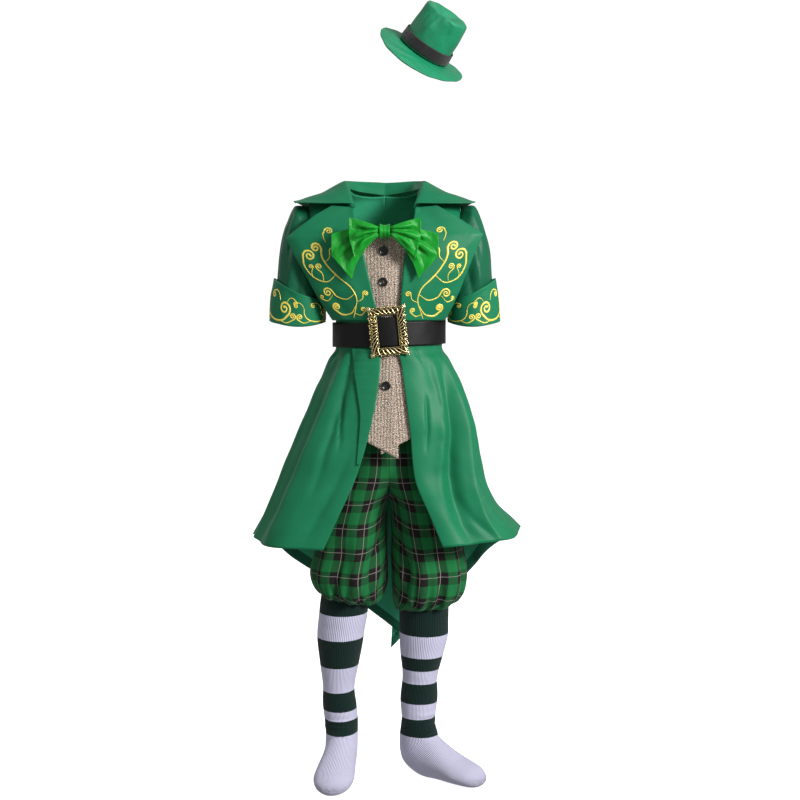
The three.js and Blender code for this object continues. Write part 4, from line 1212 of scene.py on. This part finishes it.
def buckleMesh():
    vertices, faces = [], []
    count = 240
    # The plate, with rounded shoulders.
    section = [(0.0, 0.0), (0.0, 1.6), (0.12, buckle["plate"]), (0.88, buckle["plate"]), (1.0, 1.6),
               (1.0, 0.0)]
    for share, height in section:
        line = framePath(share, count, 1.1 * share)
        vertices.extend([[x, y, height] for x, y in line])
    for k in range(len(section)):
        following = (k + 1) % len(section)
        for i in range(count):
            j = (i + 1) % count
            faces.append((k * count + i, k * count + j, following * count + j, following * count + i))
    for share in (0.07, 0.93):
        line = framePath(share, count, 1.1 * share)
        tubeAlong(np.column_stack([line, np.full(count, buckle["plate"] + 0.3)]), buckle["rim"], vertices,
                  faces)
    # Two strands plaited round the middle of the frame, with a knob in each eye.
    fine = 720
    for strand in range(2):
        phase = math.pi * strand + np.arange(fine) / fine * 2 * math.pi * buckle["plaits"]
        inner, outer = framePath(0.2, fine), framePath(0.8, fine)
        line = mix(inner, outer, ((1 + np.sin(phase)) / 2)[:, None])
        height = buckle["plate"] + 0.9 + 0.8 * np.cos(phase)
        tubeAlong(np.column_stack([line, height]), buckle["strand"], vertices, faces)
    for x, y in framePath(0.5, 4 * buckle["plaits"])[1::2]:
        ball((x, y, buckle["plate"] + 0.5), 1.1, vertices, faces)
    # Beads along the outer edge, and a shell of knobs at each corner.
    edge = framePath(1.0, 44, 1.3)
    for x, y in edge:
        ball((x, y, 1.7), buckle["bead"], vertices, faces)
    for sx in (-1, 1):
        for sy in (-1, 1):
            corner = np.array([sx * (buckle["width"] / 2 - 1.5), sy * (buckle["height"] / 2 - 1.5)])
            ball((corner[0], corner[1], 2.4), buckle["shell"], vertices, faces, 0.6)
            for k in range(5):
                turn = math.atan2(sy, sx) + (k - 2) * 0.55
                ball((corner[0] + 3.1 * math.cos(turn), corner[1] + 3.1 * math.sin(turn), 2.0), 1.3,
                     vertices, faces)
    return np.array(vertices), faces


points, faces = buckleMesh()
tilt = math.radians(buckle["tilt"])
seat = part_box("buckle")[1][1] * 1000
x = points[:, 0] * math.cos(tilt) - points[:, 1] * math.sin(tilt) + buckle["x"]
z = points[:, 0] * math.sin(tilt) + points[:, 1] * math.cos(tilt) + buckle["z"]
mesh = bpy.data.meshes.new("buckle")
mesh.from_pydata(metres(np.stack([x, seat - points[:, 2], z], axis=1)).tolist(), [], faces)
piece = bpy.data.objects.new("buckle_shown", mesh)
bpy.context.scene.collection.objects.link(piece)
finishMesh(piece, [buckleGold])
shape = bmesh.new()
shape.from_mesh(mesh)
bmesh.ops.recalc_face_normals(shape, faces=shape.faces)
shape.to_mesh(mesh)
shape.free()
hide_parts("buckle")
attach(piece, "root")
print("belt and buckle made")

# Bow

bow = {
    "x": -6, "y": -90, "z": 920, "thickness": 1.1,
    "knotHalfWidth": 7, "knotHeight": 18, "knotDepth": 19, "knotBack": 25.7, "pinch": 0.11,
    "pleats": 3,
    "loops": {
        "top": {"reach": 52, "halfHeight": 33, "droop": -9, "y": -13, "sag": 3, "thick": 12, "leanIn": 0.32,
                "pleat": 2},
        "under": {"reach": 80, "halfHeight": 37, "droop": -38, "y": 0.5, "sag": 3, "thick": 9,
                  "leanIn": 0.8, "pleat": 1.6},
    },
    # u runs out along the front leaf to the fold at 0.5, and v from the lower edge to the upper
    "folds": [
        (0.03, 0.42, 0.34, 0.36, 0.0, 2.6, -3.2), (0.04, 0.52, 0.30, 0.55, 0.0, 2.4, 2.6),
        (0.03, 0.32, 0.30, 0.16, 0.02, 3.0, 3.0),
        (0.05, 0.60, 0.40, 0.68, 0.0, 3.2, -2.6), (0.04, 0.70, 0.30, 0.84, 0.0, 3.0, 2.4),
        (0.05, 0.24, 0.22, 0.05, 0, 2.4, -2.6),
        (0.16, 0.44, 0.42, 0.5, 0.0, 4.5, 2.4), (0.25, 0.25, 0.46, 0.3, 0, 5, -2.8),
        (0.2, 0.8, 0.42, 0.9, 0, 5, -2.2),
    ],
}


def bowLoop(side, loop):
    def surface(u, v):
        along = np.sin(math.pi * u)
        back = 1 - np.cos(math.pi * u)
        height = 2 * v - 1
        spread = mix(bow["pinch"], 1, np.maximum(along, 0) ** 0.9)
        pleat = loop["pleat"] * (1 - along) * along * 4 * np.cos(math.pi * bow["pleats"] * height)
        x = bow["knotHalfWidth"] * 0.6 + along * loop["reach"] * (
            1 - loop["leanIn"] * 0.5 * np.maximum(0, -height) * along)
        apart = loop["thick"] / 2 * np.sin(math.pi * np.minimum(1, along * 0.9 + 0.1)) ** 0.5
        y = bow["y"] + loop["y"] * mix(0.5, 1, smooth(5 * along)) + (back - 1) * apart - pleat * (1 - back)
        z = (bow["z"] + loop["droop"] * along ** 1.4 + height * loop["halfHeight"] * spread
             - loop["sag"] * along * np.maximum(0, height))
        return bow["x"] + sides[side] * x, y, z

    return surface


for layer, loop in bow["loops"].items():
    for side in sides:
        made = clothPiece(f"bow_{layer}_{side}", bowLoop(side, loop), (104, 48), bow["thickness"], [bowSatin],
                          bow["folds"], 0.4, ring=True, rough=30)
        declare(made)


def knot(u, v):
    turn = 2 * math.pi * u
    waist = 1 + 0.18 * (2 * v - 1) ** 2
    reach = np.where(np.cos(turn) > 0, bow["knotDepth"], bow["knotBack"])
    return (bow["x"] + bow["knotHalfWidth"] * waist * (2 * v - 1), bow["y"] - reach * np.cos(turn),
            bow["z"] - 0.5 + (bow["knotHeight"] / 2 + 1.5) * waist * np.sin(turn))


made = clothPiece("bow_knot", knot, (80, 24), bow["thickness"], [bowSatin], closed=True,
                  folds=[(0.8, 0.3, 1.0, 0.28, 0, 1.6, -1.0), (0.0, 0.28, 0.2, 0.3, 0, 1.6, -1.0),
                         (0.8, 0.7, 1.0, 0.66, 0, 1.6, -1.0), (0.0, 0.66, 0.2, 0.7, 0, 1.6, -1.0)])
declare(made)
print("bow made")

# Knickers

knickers = {
    "thickness": 1.4,
    "grid": (98, 116),
    "uneven": 1.4,
    # z x halfWidth front back start
    "hips": [(742, 0, 84, 65, 57.6, 90), (690, 0, 88, 70, 58, 90), (620, 0, 94, 77, 64, 90),
             (550, 0.5, 97, 80, 68, 89.9), (505, 38, 62, 76, 68, 54), (478, 53, 53, 72, 68, 14)],
    "legs": {
        "right": [(440, 61, 58, 69, 66, 0), (400, 63, 60, 68, 66, 0), (356, 67.5, 64.5, 68, 65, 0),
                  (330, 68, 59.5, 64, 62, 0), (319, 72, 50.5, 55.5, 54.5, 0), (315, 75, 44, 43.6, 45.4, 0)],
        "left": [(440, 60, 57, 69, 66, 0), (400, 64, 60, 69, 66, 0), (360, 67, 63, 70, 66, 0),
                 (328, 66, 61, 67, 64, 0), (307, 62, 53.5, 58, 56.5, 0), (302, 59.5, 46, 45.6, 45.8, 0)],
    },
    "hemTilt": {"right": 0.22, "left": 0.1},
    "gathers": (9, 2.6),
    "folds": {
        "front": [
            (0.08, 0.52, 0.30, 0.70, 0.02, 8, -4), (0.12, 0.62, 0.36, 0.92, 0.04, 9, 4.5),
            (0.30, 0.60, 0.28, 0.97, 0.02, 6, -5),
            (0.46, 0.58, 0.44, 0.96, -0.02, 9, 4), (0.56, 0.62, 0.60, 0.98, 0.02, 7, -5.5),
            (0.70, 0.55, 0.72, 0.97, 0.02, 9, 4.5),
            (0.82, 0.60, 0.84, 0.98, 0, 7, -5), (0.38, 0.80, 0.36, 0.99, 0, 4, -3),
            (0.66, 0.82, 0.64, 0.99, 0, 4, 3),
            (0.2, 0.84, 0.19, 0.99, 0, 4, 3), (0.76, 0.84, 0.77, 0.99, 0, 3.5, -3),
            (0.50, 0.84, 0.51, 0.99, 0, 3.5, -2.5),
        ],
        "back": [
            (0.10, 0.50, 0.40, 0.66, 0.02, 9, -4), (0.25, 0.60, 0.24, 0.96, 0.02, 9, 4),
            (0.42, 0.58, 0.45, 0.97, 0, 8, -5),
            (0.60, 0.60, 0.58, 0.97, 0.02, 9, 4), (0.75, 0.58, 0.78, 0.97, 0, 8, -5),
            (0.33, 0.82, 0.33, 0.99, 0, 4, -3),
            (0.68, 0.82, 0.68, 0.99, 0, 4, -3), (0.86, 0.8, 0.88, 0.99, 0, 4, 3),
        ],
    },
}


def knickerPanel(side, face):
    rows = knickers["hips"] + knickers["legs"][side]
    way = -1 if face == "front" else 1

    def surface(u, v):
        level, middle, halfWidth, front, back, start = rowAt(rows, v)
        turn = mix(np.radians(np.clip(start, 0, 90)), math.pi, u)
        low = smooth((v - 0.55) / 0.4)
        number, height = knickers["gathers"]
        ruffle = height * low * np.sin(math.pi * u) * np.cos(2 * math.pi * number * u)
        bag = 5 * smooth((v - 0.4) / 0.3) * (1 - low) * np.sin(math.pi * u) * np.cos(5 * math.pi * u)
        x = middle - (halfWidth + (ruffle + bag) * np.abs(np.cos(turn))) * np.cos(turn)
        depth = front if face == "front" else back
        y = way * (depth + ruffle + bag) * np.sin(turn)
        nearest = mix(0.1, 1.4, smooth((520 - level) / 20))
        z = level + knickers["hemTilt"][side] * (x - middle) * smooth((v - 0.6) / 0.4)
        return sides[side] * np.maximum(x, nearest), y, z

    return surface


for side in sides:
    for face in ("front", "back"):
        made = clothPiece(f"knicker_{face}_{side}", knickerPanel(side, face), knickers["grid"],
                          knickers["thickness"],
                          [checkCloth], knickers["folds"][face], knickers["uneven"], sewn="start end top",
                          hold=12, start=1)
        declare(made)

waistband = {"halfWidth": 84.6, "front": 66.2, "back": 58.8, "low": 742.6, "high": 762, "gathers": (40, 0.8)}


def bandSurface(u, v):
    turn = 2 * math.pi * u
    number, height = waistband["gathers"]
    depth = np.where(np.cos(turn) > 0, waistband["front"], waistband["back"])
    pull = 1 - height / 80 * (1 + np.cos(number * turn)) / 2
    return (waistband["halfWidth"] * np.sin(turn) * pull, -depth * np.cos(turn) * pull,
            mix(waistband["high"], waistband["low"], v))


made = clothPiece("knicker_waistband", bandSurface, (200, 6), 2, [checkCloth], closed=True)
declare(made)
print("knickers made")

# Stockings

stockings = {
    "thickness": 1.6,
    "grid": (96, 144),
    # reach z x radius depth tip y, a ring to a row; tip turns it from level towards the way the foot points
    "right": {
        "toeOut": 6,
        "dip": 5,
        "stripesAt": [290, 248, 200, 157, 124, 109, 86],
        "rows": [
            (0, 345, 73, 37, 37, 0, 1), (0, 294, 76, 40.5, 40, 0, 2), (0, 250, 81.5, 39, 39, 0, 6),
            (0, 205, 83.5, 33, 34, 0, 9), (0, 160, 84.5, 26.6, 28, 0, 10), (0, 131, 83, 28.5, 28.5, 0, 10),
            (1, 104, 80.5, 28, 29, 8, 10), (0, 80, 80, 27, 34, 22, 10), (4, 58, 80, 27, 41, 42, 10),
            (24, 46, 80, 28, 36, 68, 10), (57, 40, 80, 31, 27, 84, 10), (92, 34, 80, 33, 20, 90, 10),
            (118, 30, 80, 28, 16, 90, 10), (134, 27, 80, 14, 8, 90, 10), (138, 26, 80, 1, 1, 90, 10),
        ],
        "folds": [
            (0.30, 0.135, 0.55, 0.15, 0.01, 3, 1.0), (0.46, 0.115, 0.72, 0.11, 0, 3, -1.0),
            (0.34, 0.405, 0.66, 0.42, 0.01, 2.4, -1.5), (0.40, 0.43, 0.70, 0.425, -0.01, 2.4, 1.5),
            (0.30, 0.445, 0.60, 0.455, 0.01, 2.4, -1.6), (0.42, 0.465, 0.74, 0.455, 0, 2.6, 1.4),
            (0.34, 0.48, 0.66, 0.485, 0.01, 2.4, -1.5), (0.05, 0.42, 0.2, 0.43, 0, 2.6, -1.2),
            (0.8, 0.44, 0.97, 0.43, 0, 2.6, 1.2),
        ],
    },
    "left": {
        "toeOut": 50,
        "dip": 3,
        "stripesAt": [256, 217, 195, 172, 139, 113, 84],
        "rows": [
            (0, 345, 58, 40, 39, 0, 0), (0, 300, 58, 42, 41, 0, 0), (0, 259, 58, 41.5, 41, 0, 4),
            (0, 221, 55, 36, 36, 0, 7), (0, 175, 51.5, 29, 30, 0, 8), (0, 143, 50, 31.5, 31, 0, 8),
            (1, 112, 48.5, 29, 29, 8, 8), (0, 86, 48, 27, 35, 22, 8), (4, 62, 48, 28, 42, 42, 8),
            (24, 49, 48, 29, 37, 68, 8), (57, 42, 48, 31, 28, 84, 8), (92, 35, 48, 33, 20, 90, 8),
            (118, 31, 48, 28, 16, 90, 8), (134, 28, 48, 14, 8, 90, 8), (138, 27, 48, 1, 1, 90, 8),
        ],
        "folds": [
            (0.22, 0.26, 0.50, 0.28, 0.01, 3, 1.4), (0.48, 0.30, 0.74, 0.28, 0, 3, -1.3),
            (0.28, 0.325, 0.56, 0.34, 0.01, 3, -1.5),
            (0.30, 0.41, 0.64, 0.425, 0.01, 2.4, 1.6), (0.38, 0.44, 0.72, 0.43, 0, 2.4, -1.5),
            (0.26, 0.45, 0.58, 0.465, 0.01, 2.4, 1.4), (0.36, 0.485, 0.68, 0.475, 0, 2.4, -1.5),
            (0.05, 0.43, 0.2, 0.42, 0, 2.6, -1.2), (0.8, 0.45, 0.97, 0.44, 0, 2.6, 1.2),
        ],
    },
}


def stocking(side):
    rows, toe = stockings[side]["rows"], math.radians(stockings[side]["toeOut"])

    def surface(u, v):
        reach, level, middle, radius, depth, tip, y = rowAt(rows, v)
        turn, tip = 2 * math.pi * u + math.pi, np.radians(tip)
        along = reach + depth * np.cos(turn) * np.cos(tip)
        across = radius * np.sin(turn)
        z = level + depth * np.cos(turn) * np.sin(tip)
        x = middle + along * math.sin(toe) + across * math.cos(toe)
        return sides[side] * x, y - along * math.cos(toe) + across * math.sin(toe), z

    return surface


for side in sides:
    look = stockings[side]
    v = np.linspace(0, 1, stockings["grid"][1] + 1)
    points = np.stack(stocking(side)(np.full_like(v, 0.5), v), axis=1)
    length = np.concatenate([[0], np.cumsum(np.linalg.norm(np.diff(points, axis=0), axis=1))])
    ends = [float(np.interp(-z, -points[:120, 2], length[:120])) for z in look["stripesAt"]]
    rings = np.stack(stocking(side)(*np.meshgrid(np.linspace(0, 1, 111), v)), axis=2)
    around = float(np.linalg.norm(np.diff(rings, axis=1), axis=2).sum(axis=1).max())
    knit = ribKnit("stocking knit " + side, ends, float(length[-1]) + 8, around, look["dip"])
    made = clothPiece("stocking_" + side, stocking(side), stockings["grid"], stockings["thickness"], [knit],
                      look["folds"],
                      0.4, closed=True, shareAcross=True)
    declare(made)
print("stockings made")

# Hat

hat = {
    "x": 54.7, "y": -78, "z": 1201.8, "roll": 35, "lean": 18.5,
    "crownRadius": 42, "brimRadius": 76,
    "thickness": 2,
    # share of the radius, height
    "profile": [(1.03, 1.3), (1, 16), (0.97, 34), (0.945, 50), (0.93, 62), (0.88, 69), (0.72, 71.5),
                (0.4, 71), (0, 71)],
    "dent": {"depth": 14, "along": 30, "across": 15, "pinch": 7, "pinchAt": 0.33},
}


def placeHat(x, y, z):
    a, b = math.radians(hat["lean"]), math.radians(hat["roll"])
    y, z = y * math.cos(a) - z * math.sin(a), y * math.sin(a) + z * math.cos(a)
    x, z = x * math.cos(b) + z * math.sin(b), -x * math.sin(b) + z * math.cos(b)
    return x + hat["x"], y + hat["y"], z + hat["z"]


def crown(u, v):
    share, height = rowAt(hat["profile"], v)
    dent = hat["dent"]
    turn = 2 * math.pi * u
    nearPinch = np.maximum(0, np.cos(turn + dent["pinchAt"])) ** 10
    pinched = dent["pinch"] * smooth((height - 40) / 30) * share * nearPinch
    radius = hat["crownRadius"] * share * (1 + 0.03 * np.cos(2 * turn)) - pinched
    x, y = radius * np.sin(turn), -radius * np.cos(turn)
    inDent = np.exp(-((x / dent["across"]) ** 2) - (y / dent["along"]) ** 2)
    return placeHat(x, y, height - dent["depth"] * inDent * smooth((v - 0.6) / 0.3))


def brim(u, v):
    turn = 2 * math.pi * u
    radius = mix(hat["crownRadius"] - 6, hat["brimRadius"], v) * (1 + 0.03 * v * np.cos(2 * turn))
    droop = -7.5 + 4 * np.sin(turn) - 3.5 * np.cos(turn) - 3.5 * np.cos(2 * turn)
    return placeHat(radius * np.sin(turn), -radius * np.cos(turn), droop * v ** 1.6)


def hatBand(u, v):
    turn = 2 * math.pi * u
    height = mix(21, 4, v)
    radius = hat["crownRadius"] * (1.031 - 0.002 * height) * (1 + 0.03 * np.cos(2 * turn)) + 2.1
    return placeHat(radius * np.sin(turn), -radius * np.cos(turn), height)


made = clothPiece("hat_crown", crown, (108, 72), hat["thickness"], [hatSatin], closed=True, uneven=0.7,
                  rough=40,
                  folds=[(0.95, 0.2, 0.98, 0.62, 0, 4, 2), (0.88, 0.25, 0.9, 0.6, 0, 5, -2.2),
                         (0.08, 0.3, 0.05, 0.62, 0, 5, -2),
                         (0.16, 0.2, 0.18, 0.6, 0, 6, 2), (0.4, 0.25, 0.42, 0.62, 0, 7, -2),
                         (0.62, 0.25, 0.6, 0.6, 0, 7, 2)])
declare(made)
made = clothPiece("hat_brim", brim, (140, 36), hat["thickness"], [hatSatin], closed=True, up=True,
                  uneven=0.5, rough=50)
declare(made)
made = clothPiece("hat_ribbon", hatBand, (120, 10), 1.2, [hatRibbon], closed=True)
declare(made)
print("hat made")

# Camera, light and floor

studio = {
    "camera": (0.018, -2.6, -0.135), "pitch": 85.5, "lens": 71.1,
    "backdrop": 1.06, "ambient": 0.38, "exposure": 0.0,
    # place, aim, size, watts
    "lights": {
        "key": ((2.1, -2.05, 0.9), (0, 0, -0.3), 0.9, 124),
        "edge": ((-1.6, 0.9, 0.7), (0, 0, -0.3), 0.8, 8),
        "top": ((0.5, -0.4, 2.2), (0, 0, 0), 1.2, 10),
    },
}

scene = bpy.context.scene
camera = bpy.data.objects.new("camera", bpy.data.cameras.new("camera"))
scene.collection.objects.link(camera)
camera.location = studio["camera"]
camera.rotation_euler = (math.radians(studio["pitch"]), 0, 0)
camera.data.lens = studio["lens"]
camera.data.sensor_width = 36
scene.camera = camera

for name, (place, aim, size, watts) in studio["lights"].items():
    light = bpy.data.lights.new(name, "AREA")
    light.size, light.energy = size, watts
    lamp = bpy.data.objects.new(name, light)
    scene.collection.objects.link(lamp)
    lamp.location = place
    way = lamp.location.__class__(aim) - lamp.location
    lamp.rotation_euler = way.to_track_quat("-Z", "Y").to_euler()

# The backdrop is burnt out to white, but the cloth gets a softer light from all round than that white
# would give.
world = bpy.data.worlds.new("studio")
scene.world = world
world.use_nodes = True
shown = addNode(world.node_tree, "ShaderNodeLightPath").outputs["Is Camera Ray"]
strength = calculate(world.node_tree, "MULTIPLY_ADD", shown, studio["backdrop"] - studio["ambient"],
                     studio["ambient"])
background = world.node_tree.nodes["Background"]
background.inputs[0].default_value = linear("#ffffff")
world.node_tree.links.new(strength, background.inputs[1])

bpy.ops.mesh.primitive_plane_add(size=30, location=(0, 0, -0.9745))
floor = bpy.context.object
floor.name = "floor"
floor.visible_diffuse = floor.visible_glossy = False
paper, _, shader = newMaterial("studio paper", Roughness=0.9)
shader.inputs["Base Color"].default_value = linear("#fcfcfc")
shader.inputs["Emission Color"].default_value = linear("#ffffff")
shader.inputs["Emission Strength"].default_value = 0.8
floor.data.materials.append(paper)

scene.view_settings.view_transform = "Standard"
scene.view_settings.exposure = studio["exposure"]
scene.cycles.use_denoising = True
print("studio ready")
